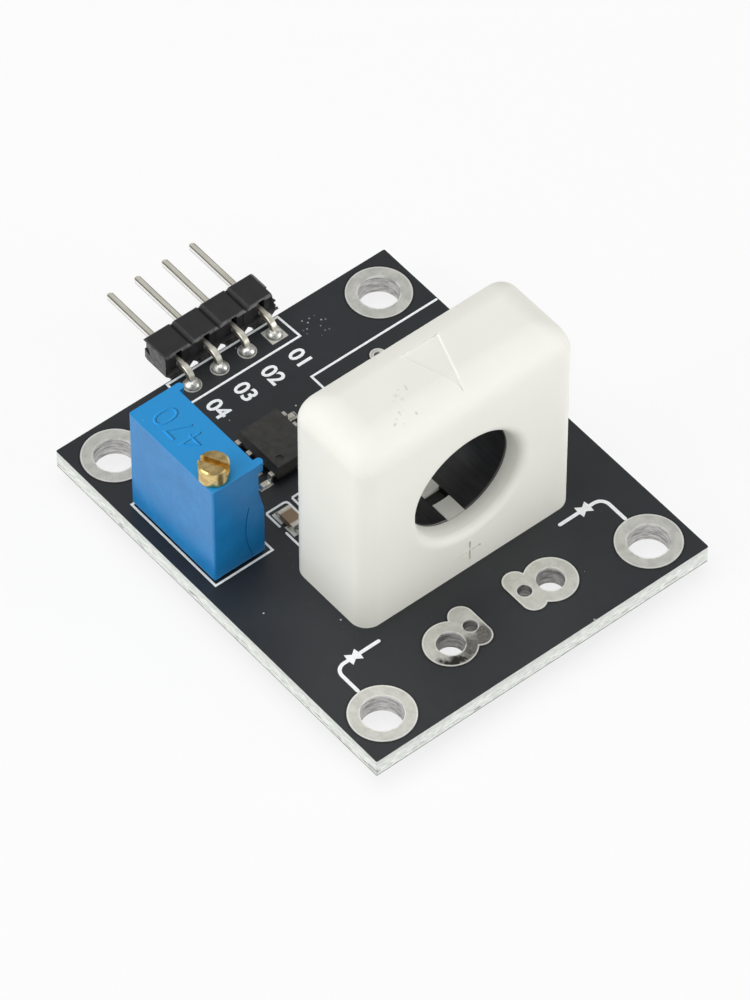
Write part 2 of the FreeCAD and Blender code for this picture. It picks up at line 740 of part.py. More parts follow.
def make_trimmer_wiper():
    """A spring washer on the hub with one finger that reaches the track."""
    washer = tube(wiper_d, hub_d, wiper_t, V(wheel_x1, wheel_y, wheel_axis_z), X_AXIS)
    half = wiper_finger_w / 2
    reach = wiper_gap - track_t - running
    inner = wiper_d / 2 * 0.8
    tip = (track_inner_r + track_outer_r) / 2
    outline = [V(wheel_x1, wheel_y - half, inner), V(wheel_x1 + wiper_t, wheel_y - half, inner),
               V(wheel_x1 + reach, wheel_y - half, tip - wiper_t),
               V(wheel_x1 + reach, wheel_y - half, tip + wiper_t),
               V(wheel_x1 + wiper_t * 0.8, wheel_y - half, inner + wiper_t * 2),
               V(wheel_x1, wheel_y - half, inner + wiper_t)]
    finger = prism(outline, V(0, wiper_finger_w, 0))
    finger.translate(V(0, 0, wheel_axis_z))
    return fused([washer, finger])


def make_trimmer_track():
    """The resistive track, a ring that is open at the bottom, on the plate's face."""
    ring = tube(2 * track_outer_r, 2 * track_inner_r, track_t,
                V(plate_x0 - track_t, wheel_y, wheel_axis_z), X_AXIS)
    reach = 2 * track_outer_r
    spread = reach * math.tan(math.radians(track_open / 2))
    x0 = plate_x0 - track_t
    wedge = prism([V(x0, wheel_y, wheel_axis_z), V(x0, wheel_y - spread, wheel_axis_z - reach),
                   V(x0, wheel_y + spread, wheel_axis_z - reach)], V(track_t, 0, 0))
    return ring.cut(wedge)


def make_trimmer_plate():
    """The ceramic plate that carries the track, with the hole for the wheel's hub."""
    plate = box(plate_x0, plate_x1, cavity_y0 + plate_play, cavity_y1 - plate_play,
                base_seal_z1, cavity_z1 - plate_top_gap)
    hole = rod(hub_d + 2 * running, plate_t, V(plate_x0, wheel_y, wheel_axis_z), X_AXIS)
    return plate.cut(hole)


def make_trimmer_pin(y):
    """A round pin up the plate's back, down through the seal and the board."""
    top_z = base_seal_z1 + trimmer_pin_up
    return rod(trimmer_pin_d, top_z + tail_below, V(trimmer_pin_x, y, -tail_below))


def make_trimmer_base_seal(pins):
    body = box(cavity_x0, cavity_x1, cavity_y0, cavity_y1, trimmer_low_z, base_seal_z1)
    return body.cut(Part.makeCompound(pins))


def make_chip_body():
    """The package: two drafted halves that meet at the leads, with a dot at lead one."""
    z0 = board_t + chip_stand
    z1 = board_t + chip_h
    mid = (z0 + z1) / 2

    def outline(inset, z):
        hx = chip_w / 2 - inset
        hy = chip_l / 2 - inset
        corners = [V(chip_x - hx, chip_y - hy, z), V(chip_x + hx, chip_y - hy, z),
                   V(chip_x + hx, chip_y + hy, z), V(chip_x - hx, chip_y + hy, z)]
        return Part.makePolygon(corners + [corners[0]])

    upper = Part.makeLoft([outline(0, mid), outline(chip_draft, z1)], True, True)
    lower = Part.makeLoft([outline(chip_draft, z0), outline(0, mid)], True, True)
    dot_in = chip_dot_in + chip_draft / 2
    dot = rod(chip_dot_d, engraving, V(chip_x - chip_w / 2 + dot_in, chip_y - chip_l / 2 + dot_in,
                                       z1 - engraving))
    return fused([lower, upper]).cut(dot)


def make_chip_leads():
    """Eight gull-wing leads: shoulder, leg and foot."""
    mid = board_t + (chip_stand + chip_h) / 2
    t = chip_lead_t
    foot_z = board_t + pad_t
    leads = []
    for side in (-1, 1):
        edge = chip_x + side * chip_w / 2
        tip = chip_x + side * chip_span / 2
        knee = edge + side * (chip_span - chip_w) / 2 * 0.3
        ankle = tip - side * chip_foot
        for step in row(chip_lead_count // 2, chip_lead_pitch):
            y = chip_y + step - chip_lead_w / 2
            path = [V(edge, y, mid + t / 2), V(knee, y, mid + t / 2), V(ankle, y, foot_z + t),
                    V(tip, y, foot_z + t), V(tip, y, foot_z), V(ankle - side * t * 0.6, y, foot_z),
                    V(knee - side * t * 0.6, y, mid - t / 2), V(edge, y, mid - t / 2)]
            leads.append(prism(path, V(0, chip_lead_w, 0)))
    return Part.makeCompound(leads)


def chip_pad_places():
    half = chip_pad_w / 2
    places = []
    for side in (-1, 1):
        outer = chip_x + side * (chip_span / 2 + chip_pad_out)
        inner = outer - side * chip_pad_l
        for step in row(chip_lead_count // 2, chip_lead_pitch):
            y = chip_y + step
            places.append((min(outer, inner), max(outer, inner), y - half, y + half))
    return places


def cap_pad_places(x):
    places = []
    for side in (-1, 1):
        outer = cap_y + side * (cap_l / 2 + cap_pad_out)
        inner = outer - side * cap_pad_l
        places.append((x - cap_pad_w / 2, x + cap_pad_w / 2, min(outer, inner), max(outer, inner)))
    return places


def make_surface_pads():
    """The tinned lands under the chip's leads and the capacitors' ends."""
    places = chip_pad_places()
    for x in cap_xs:
        places += cap_pad_places(x)
    return Part.makeCompound([box(x0, x1, y0, y1, board_t, board_t + pad_t) for x0, x1, y0, y1 in places])


def wedge_to(x, y, z, dx, dy, height, width):
    """A solder fillet that falls from height at (x, y) to the land at (x + dx, y + dy)."""
    along = V(dx, dy, 0)
    side = V(0, width, 0) if dx else V(width, 0, 0)
    base = V(x, y, z) - side * 0.5
    return prism([base, base + along, base + V(0, 0, height)], side)


def make_surface_solder():
    """The fillets at the chip's feet and at the capacitors' ends."""
    z = board_t + pad_t
    fillets = []
    for side in (-1, 1):
        tip = chip_x + side * chip_span / 2
        for step in row(chip_lead_count // 2, chip_lead_pitch):
            fillets.append(wedge_to(tip, chip_y + step, z, side * chip_solder, 0, chip_lead_t,
                                    chip_lead_w))
        for x in cap_xs:
            fillets.append(wedge_to(x, cap_y + side * cap_l / 2, z, 0, side * cap_solder, cap_h / 2,
                                    cap_w - 2 * cap_edge_r))
    return Part.makeCompound(fillets)


def make_cap_body(x):
    z0 = board_t + pad_t
    half = cap_l / 2 - cap_end
    across = cap_w / 2 - cap_body_in
    return box(x - across, x + across, cap_y - half, cap_y + half,
               z0 + cap_body_in, z0 + cap_h - cap_body_in)


def make_cap_ends(x):
    """The two metal ends of a capacitor, with softly rounded edges."""
    z0 = board_t + pad_t
    ends = []
    for side in (-1, 1):
        outer = cap_y + side * cap_l / 2
        inner = outer - side * cap_end
        end = box(x - cap_w / 2, x + cap_w / 2, min(outer, inner), max(outer, inner), z0, z0 + cap_h)
        rounded = [e for e in end.Edges if abs(e.CenterOfMass.y - outer) < 1e-6]
        ends.append(end.makeFillet(cap_edge_r, rounded))
    return Part.makeCompound(ends)


def build_board():
    save("circuit_board", make_board())
    for index, (x, y) in enumerate(mount_points(), start=1):
        save("mounting_hole_plating_%d" % index, plated_hole(x, y, mount_land_d, mount_hole_d))
    save("wire_pad_left", make_wire_pad(-1))
    save("wire_pad_right", make_wire_pad(1))
    save("via_plating", plated_hole(via_x, via_y, via_land_d, via_hole_d))


def build_header():
    save("header_housing", make_header_housing())
    for index, x in enumerate(reversed(header_xs), start=1):
        pin = make_header_pin(x)
        save("header_pin_%d" % index, pin)
        if index == 1:
            pad = square_plated_hole(x, header_pad_y, header_pad_side, header_hole_d)
        else:
            pad = plated_hole(x, header_pad_y, header_pad_d, header_hole_d)
        save("header_pad_%d" % index, pad)
        joint = solder_joint(x, header_pad_y, header_hole_d, header_pad_d, pin, header_dome)
        save("header_solder_%d" % index, joint)


def build_sensor():
    leads = [make_sensor_lead(index) for index in range(sensor_lead_count)]
    save("sensor_housing", make_sensor_housing())
    save("sensor_core", make_core())
    save("sensor_carrier", make_carrier())
    save("hall_element", make_element())
    save("sensor_potting", make_potting(leads))
    pads = []
    for index, (lead, y) in enumerate(zip(leads, sensor_pad_ys), start=1):
        save("sensor_lead_%d" % index, lead)
        pads.append(plated_hole(sensor_x, y, sensor_pad_d, sensor_hole_d))
        joint = solder_joint(sensor_x, y, sensor_hole_d, sensor_pad_d, lead, 0)
        save("sensor_solder_%d" % index, joint)
    save("sensor_pads", Part.makeCompound(pads))


def build_trimmer():
    pins = [make_trimmer_pin(y) for y in trimmer_pin_ys]
    save("trimmer_housing", make_trimmer_housing())
    save("trimmer_screw", make_trimmer_screw())
    save("trimmer_seal_ring", make_trimmer_seal())
    save("trimmer_wheel", make_trimmer_wheel())
    save("trimmer_wiper", make_trimmer_wiper())
    save("trimmer_track", make_trimmer_track())
    save("trimmer_plate", make_trimmer_plate())
    save("trimmer_base_seal", make_trimmer_base_seal(pins))
    pads = []
    for index, (pin, y) in enumerate(zip(pins, trimmer_pin_ys), start=1):
        save("trimmer_pin_%d" % index, pin)
        pads.append(plated_hole(trimmer_pin_x, y, trimmer_pad_d, trimmer_hole_d))
        joint = solder_joint(trimmer_pin_x, y, trimmer_hole_d, trimmer_pad_d, pin, 0)
        save("trimmer_solder_%d" % index, joint)
    save("trimmer_pads", Part.makeCompound(pads))


def build_surface_parts():
    save("amplifier_body", make_chip_body())
    save("amplifier_leads", make_chip_leads())
    save("surface_pads", make_surface_pads())
    save("surface_solder", make_surface_solder())
    for index, x in enumerate(cap_xs, start=1):
        save("capacitor_body_%d" % index, make_cap_body(x))
        save("capacitor_ends_%d" % index, make_cap_ends(x))


os.makedirs("parts", exist_ok=True)
build_board()
build_header()
build_sensor()
build_trimmer()
build_surface_parts()
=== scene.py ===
import bpy
import math
from mathutils import Matrix, Vector


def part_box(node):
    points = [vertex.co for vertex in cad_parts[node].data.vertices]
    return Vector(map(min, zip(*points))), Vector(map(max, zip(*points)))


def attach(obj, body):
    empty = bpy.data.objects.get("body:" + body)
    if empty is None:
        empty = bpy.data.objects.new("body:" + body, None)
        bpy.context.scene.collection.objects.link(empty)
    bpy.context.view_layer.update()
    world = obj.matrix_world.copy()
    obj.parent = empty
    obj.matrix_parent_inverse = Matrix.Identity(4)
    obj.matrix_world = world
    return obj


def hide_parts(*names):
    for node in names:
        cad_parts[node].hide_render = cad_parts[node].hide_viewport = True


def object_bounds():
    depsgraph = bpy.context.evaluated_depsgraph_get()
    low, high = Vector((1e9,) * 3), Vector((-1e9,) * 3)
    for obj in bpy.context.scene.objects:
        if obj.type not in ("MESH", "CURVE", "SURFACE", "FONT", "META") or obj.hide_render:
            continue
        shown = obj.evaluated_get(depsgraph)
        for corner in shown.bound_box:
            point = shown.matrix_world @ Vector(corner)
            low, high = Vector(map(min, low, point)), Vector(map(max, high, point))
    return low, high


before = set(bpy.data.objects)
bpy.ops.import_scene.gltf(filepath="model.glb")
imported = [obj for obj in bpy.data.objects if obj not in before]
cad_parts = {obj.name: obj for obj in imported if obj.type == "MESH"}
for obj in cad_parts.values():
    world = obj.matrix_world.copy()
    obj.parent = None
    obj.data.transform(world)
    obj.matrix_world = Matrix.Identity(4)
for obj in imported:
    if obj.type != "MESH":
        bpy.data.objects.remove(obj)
cad_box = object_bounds()

MM = 0.001
BOARD_TOP = 1.6 * MM
HEADER_PINS = 4

# Camera, fitted to the photograph with the header's pitch as the scale: angles in degrees, lens
# and sensor in millimetres, and where it stands
CAMERA_AZIMUTH = -39.28
CAMERA_ELEVATION = 50.49
CAMERA_PLACE = Vector((-218.02, -265.93, 418.43)) * MM
CAMERA_LENS = 272.24
CAMERA_SENSOR = 36


# Objects and shapes

def deselect():
    if bpy.context.mode != "OBJECT":
        bpy.ops.object.mode_set(mode="OBJECT")
    bpy.ops.object.select_all(action="DESELECT")


def settle(piece, name, body, material):
    """Puts the piece's place in its mesh, names it and hangs it on its body."""
    deselect()
    piece.select_set(True)
    bpy.context.view_layer.objects.active = piece
    bpy.ops.object.transform_apply(location=True, rotation=True, scale=True)
    piece.name = name
    piece.data.name = name
    piece.data.materials.clear()
    piece.data.materials.append(material)
    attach(piece, body)
    return piece


def join(parts):
    """One piece made of all the parts."""
    deselect()
    for part in parts:
        part.select_set(True)
    bpy.context.view_layer.objects.active = parts[0]
    bpy.ops.object.join()
    return parts[0]


def merged_copy(name):
    """A copy of a CAD node, with its loose triangles joined into flat faces."""
    piece = bpy.data.objects.new(name + "_copy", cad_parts[name].data.copy())
    bpy.context.scene.collection.objects.link(piece)
    deselect()
    piece.select_set(True)
    bpy.context.view_layer.objects.active = piece
    bpy.ops.object.mode_set(mode="EDIT")
    bpy.ops.mesh.select_all(action="SELECT")
    bpy.ops.mesh.remove_doubles(threshold=0.001 * MM)
    bpy.ops.mesh.dissolve_limited(angle_limit=math.radians(1))
    bpy.ops.object.mode_set(mode="OBJECT")
    return piece


def block(low, high, turn=0.0):
    """A box from corner low to corner high, turned about its own X axis."""
    deselect()
    low, high = Vector(low), Vector(high)
    bpy.ops.mesh.primitive_cube_add(size=1, location=(low + high) / 2, rotation=(math.radians(turn), 0, 0))
    made = bpy.context.view_layer.objects.active
    made.scale = high - low
    return made


def carve(piece, tool, operation="DIFFERENCE"):
    """Cuts a tool out of a piece, or joins it on, and removes the tool."""
    step = piece.modifiers.new("carve", "BOOLEAN")
    step.operation = operation
    step.solver = "EXACT"
    step.object = tool
    deselect()
    piece.select_set(True)
    bpy.context.view_layer.objects.active = piece
    bpy.ops.object.modifier_apply(modifier=step.name)
    bpy.data.objects.remove(tool)


def flat_shape(loops, z, thick):
    """A thin flat piece whose outlines are loops; a loop in a loop is a hole."""
    curve = bpy.data.curves.new("flat_shape", "CURVE")
    curve.dimensions = "2D"
    curve.fill_mode = "BOTH"
    curve.extrude = thick / 2
    for loop in loops:
        spline = curve.splines.new("POLY")
        spline.points.add(len(loop) - 1)
        for point, (x, y) in zip(spline.points, loop):
            point.co = (x, y, 0, 1)
        spline.use_cyclic_u = True
    shape = bpy.data.objects.new("flat_shape", curve)
    bpy.context.scene.collection.objects.link(shape)
    deselect()
    shape.select_set(True)
    bpy.context.view_layer.objects.active = shape
    bpy.ops.object.convert(target="MESH")
    shape = bpy.context.view_layer.objects.active
    bpy.ops.object.mode_set(mode="EDIT")
    bpy.ops.mesh.select_all(action="SELECT")
    bpy.ops.mesh.remove_doubles(threshold=thick / 20)
    bpy.ops.mesh.normals_make_consistent(inside=False)
    bpy.ops.object.mode_set(mode="OBJECT")
    shape.location = (0, 0, z + thick / 2)
    return shape


def side_of(points, distance, closed=False):
    """points moved sideways by distance, with mitred corners."""
    moved = []
    count = len(points)
    for index, point in enumerate(points):
        here = Vector(point)
        before = Vector(points[index - 1]) if closed or index > 0 else None
        after = Vector(points[(index + 1) % count]) if closed or index < count - 1 else None
        steps = [(b - a).normalized() for a, b in ((before, here), (here, after)) if a and b]
        normals = [Vector((-step.y, step.x)) for step in steps]
        middle = (normals[0] + normals[-1]).normalized()
        moved.append(tuple(here + middle * distance / middle.dot(normals[0])))
    return moved


def round_end(centre, start_angle, radius, steps=8):
    """The half circle that ends a stroke, clockwise from start_angle."""
    spots = [start_angle - math.pi * index / steps for index in range(1, steps)]
    return [(centre[0] + radius * math.cos(a), centre[1] + radius * math.sin(a)) for a in spots]


def stroke(points, width):
    """The outline of a pen stroke through points, with round ends."""
    half = width / 2
    first = Vector(points[0])
    last = Vector(points[-1])
    leaving = last - Vector(points[-2])
    coming = Vector(points[1]) - first
    end_angle = math.atan2(leaving.y, leaving.x) + math.pi / 2
    start_angle = math.atan2(coming.y, coming.x) - math.pi / 2
    return (side_of(points, half) + round_end(last, end_angle, half) +
            side_of(points, -half)[::-1] + round_end(first, start_angle, half))


def frame_loops(points, width):
    """The two outlines of a closed frame drawn through points."""
    return [side_of(points, half, closed=True) for half in (width / 2, -width / 2)]


def flat_text(words, place, size, turn, thick, heavy):
    """Thin characters, centred on place and turned about Z, with strokes made heavier by heavy."""
    deselect()
    bpy.ops.object.text_add(location=(0, 0, 0))
    text = bpy.context.view_layer.objects.active
    text.data.body = words
    text.data.size = size
    text.data.align_x = "CENTER"
    text.data.align_y = "CENTER"
    text.data.extrude = thick / 2
    text.data.offset = heavy
    text.data.resolution_u = 3
    bpy.ops.object.convert(target="MESH")
    text = bpy.context.view_layer.objects.active
    text.rotation_euler = (0, 0, math.radians(turn))
    text.location = Vector(place) + Vector((0, 0, thick / 2))
    return text


# Materials

def srgb(red, green, blue):
    """A colour as it is seen, from 0 to 255, made linear."""
    def linear(value):
        value /= 255
        return value / 12.92 if value <= 0.04045 else ((value + 0.055) / 1.055) ** 2.4
    return (linear(red), linear(green), linear(blue), 1.0)


class Finish:
    """A material with one principled shader, built up node by node."""

    def __init__(self, name, roughness, metallic=0.0):
        self.material = bpy.data.materials.new(name)
        self.material.use_nodes = True
        self.tree = self.material.node_tree
        self.shader = self.tree.nodes["Principled BSDF"]
        self.shader.inputs["Roughness"].default_value = roughness
        self.shader.inputs["Metallic"].default_value = metallic
        self.place = self.node("ShaderNodeTexCoord").outputs["Object"]

    def node(self, kind, **settings):
        made = self.tree.nodes.new(kind)
        for key, value in settings.items():
            setattr(made, key, value)
        return made

    def link(self, source, target):
        self.tree.links.new(source, target)

    def stretched(self, x, y, z):
        """The place, scaled along each axis."""
        mapping = self.node("ShaderNodeMapping")
        mapping.inputs["Scale"].default_value = (x, y, z)
        self.link(self.place, mapping.inputs["Vector"])
        return mapping.outputs["Vector"]

    def noise(self, per_mm, detail=3.0, roughness=0.55, place=None):
        made = self.node("ShaderNodeTexNoise")
        made.inputs["Scale"].default_value = per_mm / MM
        made.inputs["Detail"].default_value = detail
        made.inputs["Roughness"].default_value = roughness
        self.link(place or self.place, made.inputs["Vector"])
        return made.outputs["Fac"]

    def specks(self, per_mm, size, share):
        """Small round dots: a share of the cells of a scattered grid, as 0 or 1."""
        cells = self.node("ShaderNodeTexVoronoi")
        cells.inputs["Scale"].default_value = per_mm / MM
        self.link(self.place, cells.inputs["Vector"])
        near = self.math("LESS_THAN", cells.outputs["Distance"], size)
        split = self.node("ShaderNodeSeparateColor")
        self.link(cells.outputs["Color"], split.inputs["Color"])
        chosen = self.math("LESS_THAN", split.outputs["Red"], share)
        return self.math("MULTIPLY", near, chosen)

    def math(self, operation, first, second=0.0, third=0.0):
        made = self.node("ShaderNodeMath", operation=operation)
        for socket, value in zip(made.inputs, (first, second, third)):
            if isinstance(value, (int, float)):
                socket.default_value = value
            else:
                self.link(value, socket)
        return made.outputs[0]

    def ramp(self, value, low, high, start=0.0, end=1.0):
        """value mapped from low..high to start..end, and held there."""
        made = self.node("ShaderNodeMapRange")
        made.inputs["From Min"].default_value = low
        made.inputs["From Max"].default_value = high
        made.inputs["To Min"].default_value = start
        made.inputs["To Max"].default_value = end
        self.link(value, made.inputs["Value"])
        return made.outputs["Result"]

    def mix(self, share, first, second):
        made = self.node("ShaderNodeMix", data_type="RGBA")
        for socket, value in ((made.inputs[0], share), (made.inputs[6], first), (made.inputs[7], second)):
            if isinstance(value, (int, float, tuple)):
                socket.default_value = value
            else:
                self.link(value, socket)
        return made.outputs[2]

    def part_of_place(self, axis):
        """The place along one axis, in metres."""
        split = self.node("ShaderNodeSeparateXYZ")
        self.link(self.place, split.inputs[0])
        return split.outputs[axis]

    def near(self, x, y, z, radius, soft):
        """1 inside a ball at a place in millimetres, falling to 0 over soft."""
        away = self.node("ShaderNodeVectorMath", operation="DISTANCE")
        away.inputs[1].default_value = (x * MM, y * MM, z * MM)
        self.link(self.place, away.inputs[0])
        return self.ramp(away.outputs["Value"], radius * MM, (radius + soft) * MM, 1.0, 0.0)

    def lengths(self, *parts):
        """The root of the sum of the squares of parts."""
        total = self.math("MULTIPLY", parts[0], parts[0])
        for part in parts[1:]:
            total = self.math("MULTIPLY_ADD", part, part, total)
        return self.math("SQRT", total)

    def from_line(self, x, y, reach=0.0, mirrored=""):
        """Distance in millimetres from an upright line, or from a slot reach long to each side in Y."""
        across = self.part_of_place("X")
        along = self.part_of_place("Y")
        if "x" in mirrored:
            across = self.math("ABSOLUTE", across)
        if "y" in mirrored:
            along = self.math("ABSOLUTE", along)
        across = self.math("MULTIPLY_ADD", across, 1 / MM, -x)
        along = self.math("MULTIPLY_ADD", along, 1 / MM, -y)
        if reach:
            along = self.math("MAXIMUM", self.math("SUBTRACT", self.math("ABSOLUTE", along), reach), 0.0)
        return self.lengths(across, along)

    def outside(self, rounds):
        """Distance in millimetres outward from the nearest outline of rounds, less than 0 inside one."""
        nearest = None
        for x, y, radius, reach, mirrored in rounds:
            away = self.math("SUBTRACT", self.from_line(x, y, reach, mirrored), radius)
            nearest = away if nearest is None else self.math("MINIMUM", nearest, away)
        return nearest

    def band(self, value, low, high, soft):
        """1 where value lies from low to high, falling to 0 over soft on both sides."""
        rise = self.ramp(value, low - soft, low)
        return self.math("MULTIPLY", rise, self.ramp(value, high, high + soft, 1.0, 0.0))

    def faded(self, share, *masks):
        """share of the product of masks."""
        for mask in masks:
            share = self.math("MULTIPLY", mask, share)
        return share

    def colour(self, value):
        socket = self.shader.inputs["Base Color"]
        if isinstance(value, tuple):
            socket.default_value = value
        else:
            self.link(value, socket)

    def rough(self, value):
        self.link(value, self.shader.inputs["Roughness"])

    def bump(self, height, strength, depth):
        made = self.node("ShaderNodeBump")
        made.inputs["Strength"].default_value = strength
        made.inputs["Distance"].default_value = depth * MM
        self.link(height, made.inputs["Height"])
        self.link(made.outputs["Normal"], self.shader.inputs["Normal"])


# The board's lands and holes: X, Y, radius, half length of the straight part, and where mirrored
LANDS = (
    (12.25, 15.15, 2.5, 0.0, "xy"),
    (4.6, -13.4, 2.03, 0.0, "x"),
    (2.5, -13.03, 0.97, 1.03, "x"),
    (8.4, 10.55, 0.63, 0.0, ""),
)
HOLES = (
    (12.25, 15.15, 1.575, 0.0, "xy"),
    (4.6, -13.4, 1.05, 0.0, "x"),
    (2.5, -13.03, 0.55, 0.0, "x"),
    (8.4, 10.55, 0.3, 0.0, ""),
)

# Pale dust that lies in a patch on the board, in millimetres: X, Y, Z, radius and softness
DUST_PATCH = (6.7, 15.6, 1.6, 0.7, 0.5)

# The triangle moulded in the sensor's top, in millimetres: from its back edge, and its own size
TRIANGLE_BACK = 2.3
TRIANGLE_LONG = 4.9
TRIANGLE_HALF = 1.7

# Handling marks on the sensor's top, in millimetres: X, Y and radius
MARKS = (
    (-3.7, -6.1, 0.3),
    (-2.6, -5.6, 0.35),
    (-4.4, -7.3, 0.4),
    (-3.2, -7.5, 0.35),
    (-4.9, -8.0, 0.25),
    (-5.5, -5.5, 0.06),
    (-0.3, -6.45, 0.05),
)
MARK_HEIGHT = 20.5
MARK_SOFT = 0.45

# Tarnish and burnt spots on the left wire land, in millimetres: X, Y, radius, softness and strength
PLATING_TOP = 1.65
TARNISH = (
    (-3.45, -13.9, 0.15, 0.6, 0.8),
    (-3.9, -14.6, 0.3, 0.7, 0.8),
    (-3.3, -15.0, 0.3, 0.7, 0.6),
    (-2.5, -13.9, 0.2, 0.6, 0.7),
    (-1.75, -13.9, 0.25, 0.6, 0.8),
    (-2.3, -14.7, 0.3, 0.8, 0.8),
)
BURNT = (
    (-6.2, -14.25, 0.1, 0.5, 0.8),
    (-5.65, -14.65, 0.2, 0.6, 0.9),
    (-5.05, -14.9, 0.2, 0.6, 0.9),
    (-4.4, -15.0, 0.2, 0.6, 0.8),
)


def board_finish():
    """Glossy black mask on both faces, with painted shade round the foot of each land, and pale, flecked
    laminate on the edges.
    """
    finish = Finish("board_mask_and_laminate", roughness=0.42)
    height = finish.part_of_place("Z")
    cloud = finish.noise(0.18, detail=2.0)
    mask = finish.mix(cloud, srgb(28, 31, 35), srgb(38, 42, 46))
    # Painted shade: the mask goes near black in a thin ring round the foot of each land.
    land_foot_shade = finish.band(finish.outside(LANDS), 0.0, 0.12, 0.06)
    mask = finish.mix(finish.faded(0.85, land_foot_shade), mask, srgb(8, 9, 9))
    dust = finish.specks(1.3, 0.09, 0.08)
    fine_dust = finish.specks(3.4, 0.09, 0.06)
    mask = finish.mix(finish.faded(0.8, dust), mask, srgb(214, 216, 214))
    mask = finish.mix(finish.faded(0.3, fine_dust), mask, srgb(160, 163, 162))
    cluster = finish.faded(0.8, finish.near(*DUST_PATCH), finish.specks(2.4, 0.17, 0.8))
    mask = finish.mix(cluster, mask, srgb(176, 180, 184))
    weave = finish.noise(3.0, detail=4.0, place=finish.stretched(0.6, 0.6, 3.0))
    laminate = finish.mix(finish.ramp(weave, 0.35, 0.65), srgb(202, 206, 199), srgb(244, 247, 242))
    dashes = finish.noise(1.6, detail=3.0, place=finish.stretched(0.55, 0.55, 3.4))
    low_band = finish.band(height, 0.22 * MM, 0.52 * MM, 0.12 * MM)
    dashes = finish.faded(0.7, finish.ramp(dashes, 0.56, 0.63), low_band)
    laminate = finish.mix(dashes, laminate, srgb(104, 110, 104))
    rim = finish.ramp(height, 0.06 * MM, 0.12 * MM, 0.6, 0.0)
    laminate = finish.mix(rim, laminate, srgb(110, 114, 108))
    upper = finish.ramp(height, 1.0 * MM, 1.15 * MM, 0.0, 0.35)
    laminate = finish.mix(upper, laminate, srgb(186, 192, 185))
    above = finish.ramp(height, 1.555 * MM, 1.575 * MM)
    below = finish.ramp(height, 0.045 * MM, 0.065 * MM, 1.0, 0.0)
    covered = finish.math("MAXIMUM", above, below)
    finish.colour(finish.mix(covered, laminate, mask))
    ripple = finish.noise(0.9, detail=2.0)
    finish.rough(finish.ramp(ripple, 0.3, 0.7, 0.36, 0.46))
    finish.bump(ripple, 0.12, 0.04)
    return finish.material


def blotches(finish, spots, texture):
    """Soft round spots run together and broken up by a texture, as 0 to 1."""
    total = 0.0
    for x, y, radius, soft, strength in spots:
        spot = finish.faded(strength, finish.near(x, y, PLATING_TOP, radius, soft))
        total = finish.math("ADD", spot, total)
    return finish.ramp(finish.math("MULTIPLY", total, texture), 0.1, 0.8)


def land_finish(name, wall_low=142, wall_high=216, stained=False):
    """Matt tin plate with painted highlights on its rims and at the lips and mouths of its holes, drawn
    hole walls, tarnished where asked.
    """
    finish = Finish(name, roughness=0.48, metallic=0.75)
    mottle = finish.noise(1.2, detail=5.0, roughness=0.6)
    tin = finish.mix(finish.ramp(mottle, 0.35, 0.65), srgb(207, 207, 200), srgb(225, 225, 218))
    grains = finish.noise(6.0, detail=2.0)
    tin = finish.mix(finish.ramp(grains, 0.52, 0.7, 0.0, 0.2), tin, srgb(168, 167, 158))
    if stained:
        film = finish.ramp(finish.noise(1.0, detail=5.0, roughness=0.6), 0.35, 0.6, 0.6, 1.0)
        shade = finish.mix(finish.ramp(grains, 0.4, 0.6), srgb(104, 102, 98), srgb(132, 130, 126))
        tin = finish.mix(blotches(finish, TARNISH, film), tin, shade)
        streaks = finish.ramp(finish.noise(2.2, detail=5.0, place=finish.stretched(1.0, 0.5, 1.0)),
                              0.36, 0.62, 1.0, 0.35)
        tin = finish.mix(blotches(finish, BURNT, streaks), tin, srgb(52, 50, 47))
    # Painted highlight: a bright ring just inside the outline of each land.
    rim = finish.band(finish.outside(LANDS), -0.09, 0.0, 0.05)
    tin = finish.mix(finish.faded(0.75, rim), tin, srgb(244, 244, 240))
    # Painted highlight: a bright ring, broken by the mottle, just outside each hole on top.
    hole_lip_highlight = finish.band(finish.outside(HOLES), 0.0, 0.07, 0.03)
    broken = finish.ramp(mottle, 0.38, 0.5)
    tin = finish.mix(finish.faded(0.7, hole_lip_highlight, broken), tin, srgb(246, 246, 242))
    height = finish.part_of_place("Z")
    wall = finish.ramp(height, BOARD_TOP, BOARD_TOP + 0.04 * MM, 1.0, 0.0)
    drawn = finish.noise(1.9, detail=6.0, roughness=0.66, place=finish.stretched(0.5, 0.5, 2.4))
    barrel = finish.mix(finish.ramp(drawn, 0.37, 0.60), srgb(wall_low, wall_low - 2, wall_low - 3),
                        srgb(wall_high, wall_high - 1, wall_high - 3))
    # Painted highlight: a bright broken band at the top of each hole wall.
    hole_mouth_highlight = finish.band(height, BOARD_TOP - 0.1 * MM, BOARD_TOP, 0.04 * MM)
    barrel = finish.mix(finish.faded(0.8, hole_mouth_highlight, broken), barrel, srgb(238, 238, 236))
    finish.colour(finish.mix(wall, tin, barrel))
    finish.rough(finish.ramp(mottle, 0.3, 0.7, 0.40, 0.54))
    finish.bump(grains, 0.12, 0.03)
    return finish.material


def solder_finish():
    """Bright solder with soft hollows and a dark line round its foot."""
    finish = Finish("solder", roughness=0.34, metallic=0.7)
    waves = finish.noise(1.8, detail=3.0)
    tin = finish.mix(finish.ramp(waves, 0.40, 0.58), srgb(178, 176, 170), srgb(246, 246, 240))
    foot = finish.ramp(finish.part_of_place("Z"), BOARD_TOP + 0.10 * MM, BOARD_TOP + 0.22 * MM, 0.7, 0.0)
    finish.colour(finish.mix(foot, tin, srgb(92, 88, 80)))
    finish.bump(waves, 0.5, 0.12)
    return finish.material


